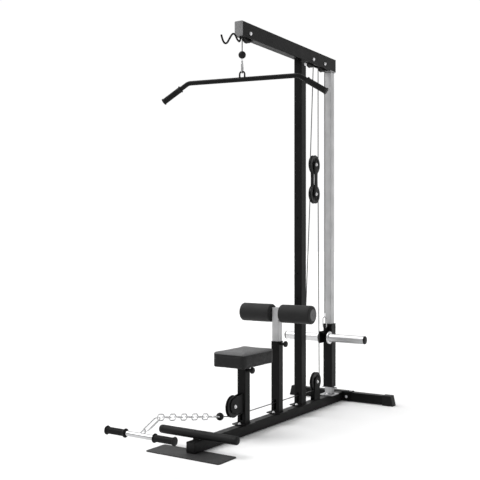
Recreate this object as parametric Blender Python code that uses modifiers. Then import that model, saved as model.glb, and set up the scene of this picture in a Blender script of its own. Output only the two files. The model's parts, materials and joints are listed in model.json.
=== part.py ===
"""Plate-loaded lat pulldown and low row machine, in metres, +Z up.

The origin is on the floor under the middle of the foot plate. The user sits
facing +Y, so -Y is the front of the machine and +X is the user's right.
"""
import math

import bmesh
import bpy
from mathutils import Matrix, Vector

# ------------------------------------------------------------------ clearances
GAP = 0.0003            # between pieces that touch
SLIDE = 0.0006          # round a tube that slides in another
RUN = 0.0006            # round a shaft in its bore
ROPE_CLEAR = 0.0007     # between a rope and the groove it lies in

# ------------------------------------------------------------------ base frame
WALL = 0.0025           # wall of every frame tube
CORNER = 0.004          # corner radius of a frame tube
PLATE_W = 0.437         # foot plate
PLATE_D = 0.150
PLATE_T = 0.005
RAIL_W = 0.050          # base rail and rear stabiliser share this section
RAIL_H = 0.055
RAIL_L = 1.599
STAB_L = 0.690
STAB_CAP_WRAP = 0.046   # how far a rubber end cap covers the stabiliser
STAB_CAP_END = 0.024    # solid end of the cap at floor level
STAB_CAP_SLANT = 0.014  # how much shorter the cap is at the top
STAB_CAP_WALL = 0.003
STAB_PLATE_W = 0.150
FOOT_BAR_D = 0.0424
FOOT_BAR_L = 0.470
FOOT_BAR_Y = 0.063
SADDLE_H = 0.003        # the foot bar's height above the rail

# ------------------------------------------------------------------ posts
SEAT_Y = 0.468
SEAT_POST_W = 0.050
SEAT_POST_TOP = 0.362
SEAT_INNER_W = 0.043
KNEE_Y = 0.814
KNEE_POST_W = 0.050
KNEE_POST_TOP = 0.465
KNEE_INNER_W = 0.043
UPRIGHT_Y = 1.081
UPRIGHT_W = 0.050
UPRIGHT_D = 0.060
GUIDE_Y = 1.462
GUIDE_W = 0.045
FLANGE_W = 0.090        # bolted foot of each post
FLANGE_REACH = 0.025    # foot in front of a post and behind it
FLANGE_T = 0.005
SLOT_W = 0.014          # rope slot through a post
SLOT_LOW = 0.080
SLOT_TOP = 0.138
SEAT_SLOT_TOP = 0.205
PIN_DROP = 0.014        # pull pin below the rim of its post
PIN_R = 0.0045
PIN_TRAVEL = 0.012
KNOB_R = 0.0175
PIN_HOLE_STEP = 0.030

# ------------------------------------------------------------------ boom
BOOM_W = 0.050
BOOM_H = 0.080
BOOM_LOW = 2.1075
BOOM_FRONT = 0.422
BOOM_REAR = 1.497
CAP_LIP = 0.003
CAP_PLUG = 0.012
HOOK_D = 0.010

# ------------------------------------------------------------------ pulleys and rope
ROPE_D = 0.0055
WHEEL_W = 0.018
TOP_WHEEL_R = 0.0475
TOP_PITCH_R = 0.044     # rope centre line round a top wheel
LOW_WHEEL_R = 0.058
LOW_PITCH_R = 0.051     # rope centre line round a low or floating wheel
AXLE_R = 0.005
HEX_R = 0.0095          # across the corners of a bolt head
HEX_T = 0.006
BRACKET_T = 0.004
BRACKET_CLEAR = 0.0015  # between a wheel and its bracket
FRONT_TOP_Y = 0.497
MID_TOP_Y = 1.203
REAR_TOP_Y = 1.352
TOP_AXLE_RISE = 0.026   # top axles above the underside of the boom
FRONT_LOW_Y = 0.366
REAR_LOW_Y = 1.271
LOW_AXLE_Z = 0.170
FLOAT_Z = 1.500         # upper axle of the floating block
FLOAT_SPACING = 0.180
FLOAT_PLATE_W = 0.043
ANCHOR_Z = 0.300

# ------------------------------------------------------------------ weight carriage
CARRIAGE_W = 0.060
CARRIAGE_LOW = 0.1155
CARRIAGE_H = 0.392
STOP_R = 0.005          # cross pin that the carriage rests on
STOP_L = 0.100
BUSH_H = 0.030
BUSH_LIP = 0.003
SLEEVE_Z = 0.4285
SLEEVE_END = 0.270      # bare end of a plate sleeve, from the middle
SLEEVE_D = 0.050
SLEEVE_WALL = 0.003
COLLAR_D = 0.077
COLLAR_T = 0.006
BRACKET_R = 0.037
LINK_LOW = 0.487        # eye of the carriage
LINK_LEN = 0.070
LINK_D = 0.006

# ------------------------------------------------------------------ lat bar
BALL_R = 0.020
BALL_STEM = 0.012       # metal stem below a ball stop
LAT_BALL_DROP = 0.0925  # ball stop below the underside of the boom
LAT_BAR_DROP = 0.2225   # bar below the underside of the boom
LAT_BAR_D = 0.025
LAT_BAR_HALF = 0.309    # straight middle, each side
LAT_END_RUN = 0.145     # each end goes this far out
LAT_END_DROP = 0.091    # and this far down
LAT_BEND_R = 0.050
LAT_GRIP_L = 0.122
LAT_YAW = math.radians(13.8)
BAIL_H = 0.042          # eye on the middle of the bar
BAIL_W = 0.028
BAIL_D = 0.009
LAT_LINK_W = 0.020
LAT_LINK_D = 0.006
GRIP_WALL = 0.0035
GRIP_LIP = 0.0065
GRIP_END = 0.003        # closed outer end of a hand grip
BAR_WALL = 0.002        # wall of the lat bar and of the row handle

# ------------------------------------------------------------------ row handle
ROW_RISE = math.radians(9.8)   # the chain's slope, rising to the front
ROW_BALL_OUT = 0.118           # ball centre from the front low axle
CHAIN_LINKS = 10
ROW_STEM = 0.037        # stem and shackle between the ball and the chain
CHAIN_PITCH = 0.04395
CHAIN_WIRE = 0.0055
CHAIN_WIDTH = 0.034
CLIP_L = 0.108
CLIP_W = 0.030
CLIP_WIRE = 0.006
CLIP_TILT = math.radians(-23.6)
HANDLE_L = 0.388
HANDLE_D = 0.024
HANDLE_GRIP_L = 0.115
EYE_REACH = 0.034       # from the handle to the far end of the clip
EYE_R = 0.0095
EYE_WIRE = 0.006

# ------------------------------------------------------------------ seat and knee rollers
SEAT_PAD = (0.198, 0.296, 0.080)
SEAT_PLATE_T = 0.004
SEAT_PLATE = (0.120, 0.180)
SEAT_GAP = 0.007        # seat plate above the rim of its post
SEAT_STEM = 0.140       # inner tube inside the post
KNEE_AXLE_Z = 0.622
KNEE_HEAD = 0.033       # inner post above the roller axle
KNEE_STEM_LOW = 0.245
ROLLER_R = 0.0515
ROLLER_L = 0.198
ROLLER_IN = 0.029       # inner face of a roller from the middle
KNEE_AXLE_R = 0.0125
DISC_R = 0.033
DISC_T = 0.004

# ------------------------------------------------------------------ worked out
BASE_LOW = PLATE_T + GAP
BASE_TOP = BASE_LOW + RAIL_H
STAB_Y = RAIL_L + GAP + RAIL_W / 2
BOOM_TOP = BOOM_LOW + BOOM_H
TOP_AXLE_Z = BOOM_LOW + TOP_AXLE_RISE
LAT_BALL_Z = BOOM_LOW - LAT_BALL_DROP
LAT_BAR_Z = BOOM_LOW - LAT_BAR_DROP
ROPE_R = ROPE_D / 2
BRACKET_IN = WHEEL_W / 2 + BRACKET_CLEAR
BRACKET_OUT = BRACKET_IN + BRACKET_T
LAT_Y = FRONT_TOP_Y - TOP_PITCH_R
FLOAT_Y = REAR_TOP_Y - TOP_PITCH_R - LOW_PITCH_R
FLOAT_LOW_Z = FLOAT_Z - FLOAT_SPACING
SLEEVE_Y = REAR_TOP_Y + TOP_PITCH_R
SLEEVE_IN = CARRIAGE_W / 2 + 0.0008
ANCHOR_Y = UPRIGHT_Y + UPRIGHT_D / 2 + 0.014
SEAT_PAD_Z = SEAT_POST_TOP + SEAT_GAP + SEAT_PLATE_T + GAP + SEAT_PAD[2] / 2
ROW_DIR = Vector((0, -math.cos(ROW_RISE), math.sin(ROW_RISE)))


# ------------------------------------------------------------------ scene
def clear_scene():
    for old in list(bpy.data.objects):
        bpy.data.objects.remove(old, do_unlink=True)


def collection(name):
    made = bpy.data.collections.new(name)
    bpy.context.scene.collection.children.link(made)
    return made


def paint(name, colour, roughness, metallic=0.0):
    made = bpy.data.materials.new(name)
    made.use_nodes = True
    shader = made.node_tree.nodes["Principled BSDF"]
    shader.inputs["Base Color"].default_value = (*colour, 1)
    shader.inputs["Roughness"].default_value = roughness
    shader.inputs["Metallic"].default_value = metallic
    return made


clear_scene()
PARTS = collection("lat_pulldown_machine")
CUTTERS = collection("cutters")
POWDER = paint("black_powder_coat", (0.018, 0.018, 0.019), 0.45)
ZINC = paint("galvanised_steel", (0.52, 0.53, 0.54), 0.38, 1.0)
CHROME = paint("chrome", (0.72, 0.73, 0.74), 0.12, 1.0)
BOLT = paint("zinc_bolt", (0.62, 0.62, 0.60), 0.30, 1.0)
NYLON = paint("black_nylon", (0.022, 0.022, 0.023), 0.50)
GREY_CAP = paint("grey_plastic", (0.30, 0.30, 0.30), 0.55)
RUBBER = paint("black_rubber", (0.020, 0.020, 0.020), 0.75)
FOAM = paint("black_foam", (0.020, 0.020, 0.021), 0.85)
VINYL = paint("black_vinyl", (0.045, 0.045, 0.047), 0.42)
ROPE = paint("coated_steel_rope", (0.20, 0.20, 0.21), 0.40, 0.6)
TREAD = paint("textured_plate", (0.060, 0.060, 0.062), 0.60)


# ------------------------------------------------------------------ building blocks
def place(made, where, turn, parent):
    made.location = where
    made.rotation_euler = turn
    made.parent = parent


def finish(name, mesh, material, where=(0, 0, 0), turn=(0, 0, 0), parent=None):
    """Puts a mesh in the model, or with the cutters when it has no material."""
    made = bpy.data.objects.new(name, mesh)
    place(made, where, turn, parent)
    if material is None:
        CUTTERS.objects.link(made)
        made.hide_render = True
        made.display_type = 'WIRE'
    else:
        PARTS.objects.link(made)
        mesh.materials.append(material)
    return made


def from_bmesh(name, bm, smooth):
    mesh = bpy.data.meshes.new(name)
    bmesh.ops.recalc_face_normals(bm, faces=bm.faces)
    bm.to_mesh(mesh)
    bm.free()
    if smooth:
        mesh.shade_smooth()
        mesh.set_sharp_from_angle(angle=math.radians(35))
    return mesh


def block(name, size, where, material=None, along=None, radius=0.0, segments=2, **extra):
    """A box. The edges along one axis, or all of them, may be rounded."""
    bm = bmesh.new()
    bmesh.ops.create_cube(bm, size=1)
    bmesh.ops.scale(bm, vec=size, verts=bm.verts)
    if radius:
        if along is None:
            edges = list(bm.edges)
        else:
            edges = [e for e in bm.edges
                     if abs((e.verts[0].co - e.verts[1].co)[along]) > 1e-6]
        bmesh.ops.bevel(bm, geom=edges, offset=radius, segments=segments,
                        profile=0.5, affect='EDGES')
    return finish(name, from_bmesh(name, bm, bool(radius)), material, where, **extra)


def rod(name, radius, length, where, along, material=None, sides=16, **extra):
    """A cylinder along X, Y or Z, numbered 0, 1 and 2."""
    bm = bmesh.new()
    bmesh.ops.create_cone(bm, cap_ends=True, segments=sides,
                          radius1=radius, radius2=radius, depth=length)
    turn = [Matrix.Rotation(math.pi / 2, 3, 'Y'), Matrix.Rotation(-math.pi / 2, 3, 'X'),
            Matrix.Identity(3)][along]
    bmesh.ops.rotate(bm, cent=(0, 0, 0), matrix=turn, verts=bm.verts)
    return finish(name, from_bmesh(name, bm, True), material, where, **extra)


def turned(name, profile, where, along, material, steps=20, closed=True, turn=None, **extra):
    """A turned piece from (radius, height) points that run down the outer side."""
    bm = bmesh.new()
    verts = [bm.verts.new((r, 0, h)) for r, h in profile]
    pairs = list(zip(verts, verts[1:]))
    if closed:
        pairs.append((verts[-1], verts[0]))
    for pair in pairs:
        bm.edges.new(pair)
    mesh = bpy.data.meshes.new(name)
    bm.to_mesh(mesh)
    bm.free()
    if turn is None:
        turn = [(0, math.pi / 2, 0), (-math.pi / 2, 0, 0), (0, 0, 0)][along]
    made = finish(name, mesh, material, where, turn, **extra)
    screw = made.modifiers.new("turn", 'SCREW')
    screw.axis = 'Z'
    screw.steps = steps
    screw.render_steps = steps
    screw.use_merge_vertices = True
    screw.merge_threshold = 0.00001
    screw.use_smooth_shade = True
    return made


def curve_mesh(name, points, radius, closed, resolution):
    """A round wire through the points, as a closed mesh with welded caps."""
    data = bpy.data.curves.new(name, 'CURVE')
    data.dimensions = '3D'
    data.bevel_depth = radius
    data.bevel_resolution = resolution
    data.use_fill_caps = True
    spline = data.splines.new('POLY')
    spline.points.add(len(points) - 1)
    for point, at in zip(spline.points, points):
        point.co = (*at, 1)
    spline.use_cyclic_u = closed
    return curve_to_mesh(name, data, 60)


def curve_to_mesh(name, data, sharp):
    guide = bpy.data.objects.new(name + "_curve", data)
    CUTTERS.objects.link(guide)
    bpy.context.view_layer.update()
    seen = guide.evaluated_get(bpy.context.evaluated_depsgraph_get())
    mesh = bpy.data.meshes.new_from_object(seen)
    bpy.data.objects.remove(guide)
    bm = bmesh.new()
    bm.from_mesh(mesh)
    bmesh.ops.remove_doubles(bm, verts=bm.verts, dist=0.00001)
    bmesh.ops.recalc_face_normals(bm, faces=bm.faces)
    bm.to_mesh(mesh)
    bm.free()
    mesh.name = name
    mesh.materials.clear()
    mesh.shade_smooth()
    mesh.set_sharp_from_angle(angle=math.radians(sharp))
    return mesh


def wire(name, points, radius, material=None, closed=False, resolution=1, **extra):
    mesh = curve_mesh(name, points, radius, closed, resolution)
    return finish(name, mesh, material, **extra)


def plate(name, outline, thickness, x, material=None, **extra):
    """A flat plate in the YZ plane, centred on x, from its (y, z) outline."""
    data = bpy.data.curves.new(name, 'CURVE')
    data.dimensions = '2D'
    data.fill_mode = 'BOTH'
    data.extrude = thickness / 2
    spline = data.splines.new('POLY')
    spline.points.add(len(outline) - 1)
    for point, (y, z) in zip(spline.points, outline):
        point.co = (y, z, 0, 1)
    spline.use_cyclic_u = True
    mesh = curve_to_mesh(name, data, 35)
    mesh.transform(Matrix(((0, 0, 1, x), (1, 0, 0, 0), (0, 1, 0, 0), (0, 0, 0, 1))))
    return finish(name, mesh, material, **extra)


def boolean(target, tools, operation):
    for tool in tools:
        step = target.modifiers.new(tool.name, 'BOOLEAN')
        step.operation = operation
        step.solver = 'EXACT'
        step.object = tool
    return target


def cut(target, *tools):
    return boolean(target, tools, 'DIFFERENCE')


def weld(target, *tools):
    return boolean(target, tools, 'UNION')


def pivot(name, where, turn=(0, 0, 0)):
    """An empty on a joint's axis, which carries the pieces that move."""
    made = bpy.data.objects.new(name, None)
    made.empty_display_size = 0.05
    made.location = where
    made.rotation_euler = turn
    PARTS.objects.link(made)
    return made


# ------------------------------------------------------------------ shared shapes
def square_tube(name, width, depth, low, top, y, wall, material):
    """An upright tube with rounded corners, open at both ends."""
    length = top - low
    middle = (0, y, (low + top) / 2)
    made = block(name, (width, depth, length), middle, material, along=2, radius=CORNER)
    bore = block(name + "_bore", (width - 2 * wall, depth - 2 * wall, length + 0.02), middle)
    return cut(made, bore)


def foot_flange(name, y, width, depth, wall):
    """The bolted foot of a post, open in the middle as the post is."""
    z = BASE_TOP + GAP + FLANGE_T / 2
    made = block(name + "_foot", (FLANGE_W, depth + 2 * FLANGE_REACH, FLANGE_T), (0, y, z),
                 along=2, radius=0.008)
    hollow = block(name + "_foot_bore", (width - 2 * wall, depth - 2 * wall, 0.02), (0, y, z))
    return cut(made, hollow)


def rope_slot(name, y, depth, low, top):
    """The slot that lets the low rope through a post, front and back."""
    return block(name + "_slot", (SLOT_W, depth + 0.02, top - low), (0, y, (low + top) / 2))


def arc(centre, radius, start, end, steps, way=1):
    """Points on an arc in the YZ plane, anticlockwise for a way of 1 and clockwise for -1."""
    span = (end - start) * way % (2 * math.pi)
    points = []
    for i in range(steps + 1):
        angle = start + way * span * i / steps
        points.append((0, centre[0] + radius * math.cos(angle),
                       centre[1] + radius * math.sin(angle)))
    return points


def tangent(first, r1, side1, second, r2, side2):
    """Where a taut rope leaves one wheel and meets the next, as two angles.

    A side of +1 is to the left of the rope's direction of travel, seen with
    +Y to the right and +Z up, and -1 is to its right.
    """
    dy = second[0] - first[0]
    dz = second[1] - first[1]
    reach = math.hypot(dy, dz)
    heading = math.atan2(dz, dy) - math.asin((side1 * r1 - side2 * r2) / reach)
    return heading + side1 * math.pi / 2, heading + side2 * math.pi / 2


def shorten(points, start, end):
    """Trims the two ends of a route, so that it stops short of its neighbours."""
    route = [Vector(p) for p in points]
    route[0] = route[0] + (route[1] - route[0]).normalized() * start
    route[-1] = route[-1] + (route[-2] - route[-1]).normalized() * end
    return route


def oval(length, width, plane, steps=5):
    """Centre line of a link: two half circles joined by straight sides."""
    r = width / 2
    reach = length / 2 - r
    points = []
    for side in (1, -1):
        for i in range(steps + 1):
            angle = side * math.pi / 2 - math.pi * i / steps
            u = side * reach + r * math.cos(angle)
            v = r * math.sin(angle)
            points.append((u, v))
    if plane == 'XZ':
        return [(v, 0, u) for u, v in points]
    if plane == 'XY':
        return [(v, u, 0) for u, v in points]
    return [(0, u, v) for u, v in points]


# ------------------------------------------------------------------ base
def build_base():
    rail_z = BASE_LOW + RAIL_H / 2
    block("foot_plate", (PLATE_W, PLATE_D, PLATE_T), (0, 0, PLATE_T / 2), TREAD,
          along=2, radius=0.010, segments=3)

    rail = block("base_rail", (RAIL_W, RAIL_L, RAIL_H), (0, RAIL_L / 2, rail_z), POWDER,
                 along=1, radius=CORNER)
    bore = block("rail_bore", (RAIL_W - 2 * WALL, RAIL_L + 0.02, RAIL_H - 2 * WALL),
                 (0, RAIL_L / 2, rail_z))
    end = block("rail_end_flange", (STAB_PLATE_W, FLANGE_T, RAIL_H - 0.002),
                (0, RAIL_L - FLANGE_T / 2, rail_z))
    saddle = block("foot_bar_saddle", (RAIL_W - 0.012, FOOT_BAR_D * 0.8, SADDLE_H + 0.011),
                   (0, FOOT_BAR_Y, BASE_TOP + (SADDLE_H + 0.009) / 2))
    bar_z = BASE_TOP + SADDLE_H + FOOT_BAR_D / 2
    bed = rod("foot_bar_bed", FOOT_BAR_D / 2 + GAP, RAIL_W + 0.02, (0, FOOT_BAR_Y, bar_z), 0,
              sides=20)
    cut(saddle, bed)
    ears = [low_bracket("rear_ear", REAR_LOW_Y, side, 0.034, 0.028) for side in (-1, 1)]
    axle = rod("rear_low_bore", AXLE_R + GAP, 0.08, (0, REAR_LOW_Y, LOW_AXLE_Z), 0)
    weld(rail, end, saddle, *ears)
    cut(rail, bore, axle)

    rod("foot_bar", FOOT_BAR_D / 2, FOOT_BAR_L, (0, FOOT_BAR_Y, bar_z), 0, RUBBER, sides=20)


def low_bracket(name, y, side, foot, head):
    """One ear that holds the rear low wheel on the base rail."""
    low = BASE_TOP - 0.001
    outline = [(y - foot, low), (y + foot, low)]
    steps = 8
    for i in range(steps + 1):
        angle = math.pi * i / steps
        outline.append((y + head * math.cos(angle), LOW_AXLE_Z + head * math.sin(angle)))
    x = side * (BRACKET_IN + BRACKET_T / 2)
    return plate(f"{name}_{side}", outline, BRACKET_T, x)


def build_stabiliser():
    z = BASE_LOW + RAIL_H / 2
    tube = block("rear_stabiliser", (STAB_L, RAIL_W, RAIL_H), (0, STAB_Y, z), POWDER,
                 along=0, radius=CORNER)
    bore = block("stabiliser_bore", (STAB_L + 0.02, RAIL_W - 2 * WALL, RAIL_H - 2 * WALL),
                 (0, STAB_Y, z))
    lid = block("stabiliser_lid", (STAB_PLATE_W + 0.02, RAIL_W - 0.008, 0.005),
                (0, STAB_Y, BASE_TOP + 0.0015))
    cut(tube, bore)
    weld(tube, lid)
    for name, side in (("left", -1), ("right", 1)):
        stabiliser_cap(f"stabiliser_cap_{name}", side)


def stabiliser_cap(name, side):
    """A rubber cap over the end of the stabiliser, which is also its foot."""
    inner = STAB_L / 2 - STAB_CAP_WRAP
    outer = STAB_L / 2 + STAB_CAP_END
    top = BASE_TOP + STAB_CAP_WALL
    depth = RAIL_W + 2 * STAB_CAP_WALL
    bm = bmesh.new()
    bmesh.ops.create_cube(bm, size=1)
    bmesh.ops.scale(bm, vec=(outer - inner, depth, top), verts=bm.verts)
    for vert in bm.verts:
        if vert.co.x > 0 and vert.co.z > 0:
            vert.co.x -= STAB_CAP_SLANT
    bmesh.ops.bevel(bm, geom=list(bm.edges), offset=0.002, segments=2, profile=0.5,
                    affect='EDGES')
    if side < 0:
        bmesh.ops.rotate(bm, cent=(0, 0, 0), matrix=Matrix.Rotation(math.pi, 3, 'Z'),
                         verts=bm.verts)
    cap = finish(name, from_bmesh(name, bm, True), RUBBER,
                 (side * (inner + outer) / 2, STAB_Y, top / 2))
    hole = block(name + "_hole", (STAB_L, RAIL_W + 2 * GAP, RAIL_H + 2 * GAP),
                 (0, STAB_Y, BASE_LOW + RAIL_H / 2))
    cut(cap, hole)


# ------------------------------------------------------------------ posts
def build_seat_post():
    foot = BASE_TOP + GAP
    post = square_tube("seat_post", SEAT_POST_W, SEAT_POST_W, foot, SEAT_POST_TOP, SEAT_Y,
                       WALL, POWDER)
    weld(post, foot_flange("seat_post", SEAT_Y, SEAT_POST_W, SEAT_POST_W, WALL))
    front = SEAT_Y - SEAT_POST_W / 2
    outline = [(front + 0.001, LOW_AXLE_Z + 0.056), (front + 0.001, LOW_AXLE_Z - 0.044)]
    steps = 10
    for i in range(steps + 1):
        angle = -math.pi / 2 - math.pi * i / steps
        outline.append((FRONT_LOW_Y + 0.040 * math.cos(angle),
                        LOW_AXLE_Z + 0.006 + 0.040 * math.sin(angle)))
    for side in (-1, 1):
        x = side * (BRACKET_IN + BRACKET_T / 2)
        weld(post, plate(f"front_ear_{side}", outline, BRACKET_T, x))
    cut(post,
        rope_slot("seat_post", SEAT_Y, SEAT_POST_W, SLOT_LOW + 0.005, SEAT_SLOT_TOP),
        rod("front_low_bore", AXLE_R + GAP, 0.08, (0, FRONT_LOW_Y, LOW_AXLE_Z), 0),
        pin_hole("seat_post", SEAT_Y, SEAT_POST_TOP, SEAT_POST_W))


def pin_hole(name, y, top, width):
    x = width / 2
    return rod(name + "_pin_hole", PIN_R + GAP, 0.012, (x, y, top - PIN_DROP), 0)


def build_knee_post():
    foot = BASE_TOP + GAP
    post = square_tube("knee_post", KNEE_POST_W, KNEE_POST_W, foot, KNEE_POST_TOP, KNEE_Y,
                       WALL, POWDER)
    weld(post, foot_flange("knee_post", KNEE_Y, KNEE_POST_W, KNEE_POST_W, WALL))
    cut(post,
        rope_slot("knee_post", KNEE_Y, KNEE_POST_W, SLOT_LOW, SLOT_TOP),
        pin_hole("knee_post", KNEE_Y, KNEE_POST_TOP, KNEE_POST_W))


def build_uprights():
    foot = BASE_TOP + GAP
    top = BOOM_LOW - GAP
    upright = square_tube("main_upright", UPRIGHT_W, UPRIGHT_D, foot, top, UPRIGHT_Y, WALL,
                          POWDER)
    tab = block("rope_anchor", (0.006, 0.026, 0.030),
                (0, UPRIGHT_Y + UPRIGHT_D / 2 + 0.012, ANCHOR_Z - 0.015))
    weld(upright, foot_flange("main_upright", UPRIGHT_Y, UPRIGHT_W, UPRIGHT_D, WALL), tab)
    cut(upright, rope_slot("main_upright", UPRIGHT_Y, UPRIGHT_D, SLOT_LOW, SLOT_TOP))
    for i, z in enumerate((0.695, 0.839, 1.168)):
        hole = rod(f"upright_hole_{i}", 0.004, 0.012, (0, UPRIGHT_Y - UPRIGHT_D / 2, z), 1,
                   sides=16)
        cut(upright, hole)

    guide = square_tube("guide_tube", GUIDE_W, GUIDE_W, foot, top, GUIDE_Y, 0.002, ZINC)
    inner = GUIDE_W - 0.004
    stop_z = CARRIAGE_LOW - BUSH_LIP - 2 * GAP - STOP_R
    stop = rod("guide_stop", STOP_R, STOP_L, (0, GUIDE_Y, stop_z), 0)
    weld(guide, foot_flange("guide_tube", GUIDE_Y, GUIDE_W, GUIDE_W, 0.002),
         guide_head(inner), stop)


def guide_head(bore):
    """The flange on the guide tube's head, which ends flush with the boom."""
    z = BOOM_LOW - GAP - FLANGE_T / 2
    made = block("guide_head", (BOOM_W, 2 * (BOOM_REAR - GUIDE_Y), FLANGE_T), (0, GUIDE_Y, z))
    return cut(made, block("guide_head_bore", (bore, bore, 0.02), (0, GUIDE_Y, z)))


# ------------------------------------------------------------------ boom
def build_boom():
    length = BOOM_REAR - BOOM_FRONT
    y = (BOOM_FRONT + BOOM_REAR) / 2
    z = BOOM_LOW + BOOM_H / 2
    boom = block("boom", (BOOM_W, length, BOOM_H), (0, y, z), POWDER, along=1, radius=CORNER)
    bore = block("boom_bore", (BOOM_W - 2 * WALL, length + 0.02, BOOM_H - 2 * WALL), (0, y, z))
    slot_w = WHEEL_W + 0.006
    reach = TOP_WHEEL_R + 0.008
    front = block("front_wheel_slot", (slot_w, 2 * reach, 0.02), (0, FRONT_TOP_Y, BOOM_LOW))
    rear_mid = (MID_TOP_Y + REAR_TOP_Y) / 2
    rear_l = REAR_TOP_Y - MID_TOP_Y + 2 * reach
    rear = block("rear_wheel_slot", (slot_w, rear_l, 0.02), (0, rear_mid, BOOM_LOW))
    cut(boom, bore, front, rear)
    for name, at in (("front", FRONT_TOP_Y), ("mid", MID_TOP_Y), ("rear", REAR_TOP_Y)):
        cut(boom, rod(f"top_bore_{name}", AXLE_R + GAP, BOOM_W + 0.02,
                      (0, at, TOP_AXLE_Z), 0))

    cap = block("boom_front_cap", (BOOM_W, CAP_LIP, BOOM_H),
                (0, BOOM_FRONT - GAP - CAP_LIP / 2, z), GREY_CAP, along=1, radius=CORNER)
    plug_l = CAP_PLUG + GAP + 0.001
    plug = block("boom_cap_plug",
                 (BOOM_W - 2 * WALL - 2 * GAP, plug_l, BOOM_H - 2 * WALL - 2 * GAP),
                 (0, BOOM_FRONT - GAP - 0.001 + plug_l / 2, z))
    weld(cap, plug)


def build_bar_holder():
    """The bent wire hook under the boom's nose that parks the lat bar."""
    nose = BOOM_FRONT
    knots = [(nose + 0.014, BOOM_LOW - GAP), (nose + 0.014, BOOM_LOW - 0.014),
             (nose + 0.003, BOOM_LOW - 0.027), (nose - 0.017, BOOM_LOW - 0.019),
             (nose - 0.033, BOOM_LOW - 0.003), (nose - 0.050, BOOM_LOW + 0.002),
             (nose - 0.068, BOOM_LOW - 0.008), (nose - 0.092, BOOM_LOW - 0.036),
             (nose - 0.110, BOOM_LOW - 0.057), (nose - 0.131, BOOM_LOW - 0.064),
             (nose - 0.149, BOOM_LOW - 0.052), (nose - 0.163, BOOM_LOW - 0.027)]
    route = smooth_route([(0, y, z) for y, z in knots[1:]], 2)
    wire("bar_holder", [(0, *knots[0])] + route, HOOK_D / 2, POWDER, resolution=2)


def smooth_route(knots, steps):
    """A smooth curve through the knots, with steps points for each stretch."""
    ends = [Vector(knots[0]) * 2 - Vector(knots[1])] + [Vector(k) for k in knots]
    ends.append(Vector(knots[-1]) * 2 - Vector(knots[-2]))
    route = []
    for i in range(1, len(ends) - 2):
        a, b, c, d = ends[i - 1:i + 3]
        for j in range(steps):
            t = j / steps
            route.append(0.5 * (2 * b + (c - a) * t + (2 * a - 5 * b + 4 * c - d) * t * t
                                + (3 * b - a - 3 * c + d) * t ** 3))
    route.append(ends[-2])
    return route


# ------------------------------------------------------------------ pulleys
def pulley(name, radius, pitch, where, parent=None):
    """A grooved nylon wheel with a dished web, turned about X."""
    half = WHEEL_W / 2
    floor = pitch - ROPE_R - ROPE_CLEAR
    rim = floor - 0.006
    hub = 0.013
    dish = 0.004
    bore = AXLE_R + RUN
    profile = [(radius, half), (radius, half - 0.0025), (floor, ROPE_R + 0.0006),
               (floor, -ROPE_R - 0.0006), (radius, 0.0025 - half), (radius, -half),
               (rim, -half), (rim - 0.003, dish - half), (hub, dish - half),
               (hub, -half), (bore, -half), (bore, half), (hub, half),
               (hub, half - dish), (rim - 0.003, half - dish), (rim, half)]
    return turned(name, profile, where, 0, NYLON, steps=16, parent=parent)


def axle_bolt(name, y, z, grip, material=BOLT, parent=None):
    """A hex bolt and its nut along X, clamping pieces that are grip wide."""
    shaft = rod(name, AXLE_R, grip + 2 * GAP + HEX_T, (0, y, z), 0, material, sides=20,
                parent=parent)
    offset = grip / 2 + GAP + HEX_T / 2
    for side in (-1, 1):
        head = rod(f"{name}_hex_{side}", HEX_R, HEX_T, (side * offset, y, z), 0, sides=6,
                   parent=parent)
        weld(shaft, head)
    return shaft


def build_pulleys():
    for name, y in (("front", FRONT_TOP_Y), ("mid", MID_TOP_Y), ("rear", REAR_TOP_Y)):
        axle_bolt(f"top_axle_{name}", y, TOP_AXLE_Z, BOOM_W)
        pulley(f"top_wheel_{name}", TOP_WHEEL_R, TOP_PITCH_R, (0, y, TOP_AXLE_Z))
    for name, y in (("front", FRONT_LOW_Y), ("rear", REAR_LOW_Y)):
        axle_bolt(f"low_axle_{name}", y, LOW_AXLE_Z, 2 * BRACKET_OUT)
        pulley(f"low_wheel_{name}", LOW_WHEEL_R, LOW_PITCH_R, (0, y, LOW_AXLE_Z))


def build_float():
    """The floating block: two wheels one above the other between two plates."""
    block_pivot = pivot("float_drop", (0, FLOAT_Y, FLOAT_Z))
    r = FLOAT_PLATE_W / 2
    steps = 8
    outline = []
    for centre, start in ((0, 0), (-FLOAT_SPACING, math.pi)):
        for i in range(steps + 1):
            angle = start + math.pi * i / steps
            outline.append((r * math.cos(angle), centre + r * math.sin(angle)))
    plates = {}
    for name, side in (("left", -1), ("right", 1)):
        x = side * (BRACKET_IN + BRACKET_T / 2)
        plates[name] = plate(f"float_plate_{name}", outline, BRACKET_T, x, POWDER,
                             parent=block_pivot)
    reach = BRACKET_OUT + GAP + HEX_T
    for name, z in (("upper", 0.0), ("lower", -FLOAT_SPACING)):
        axle = rod(f"float_axle_{name}", AXLE_R, 2 * reach - 0.002, (0, 0, z), 0, sides=20,
                   parent=block_pivot)
        head = rod(f"float_head_{name}", HEX_R, HEX_T + GAP, (reach - (HEX_T + GAP) / 2, 0, z),
                   0, sides=6, parent=block_pivot)
        nut = rod(f"float_nut_{name}", HEX_R, HEX_T, (HEX_T / 2 - reach, 0, z), 0, sides=6,
                  parent=block_pivot)
        weld(plates["right"], axle, head, nut)
        cut(plates["left"], rod(f"float_bore_{name}", AXLE_R + GAP, 0.01,
                                (-BRACKET_IN - BRACKET_T / 2, 0, z), 0, parent=block_pivot))
        pulley(f"float_wheel_{name}", LOW_WHEEL_R, LOW_PITCH_R, (0, 0, z), parent=block_pivot)


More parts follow.
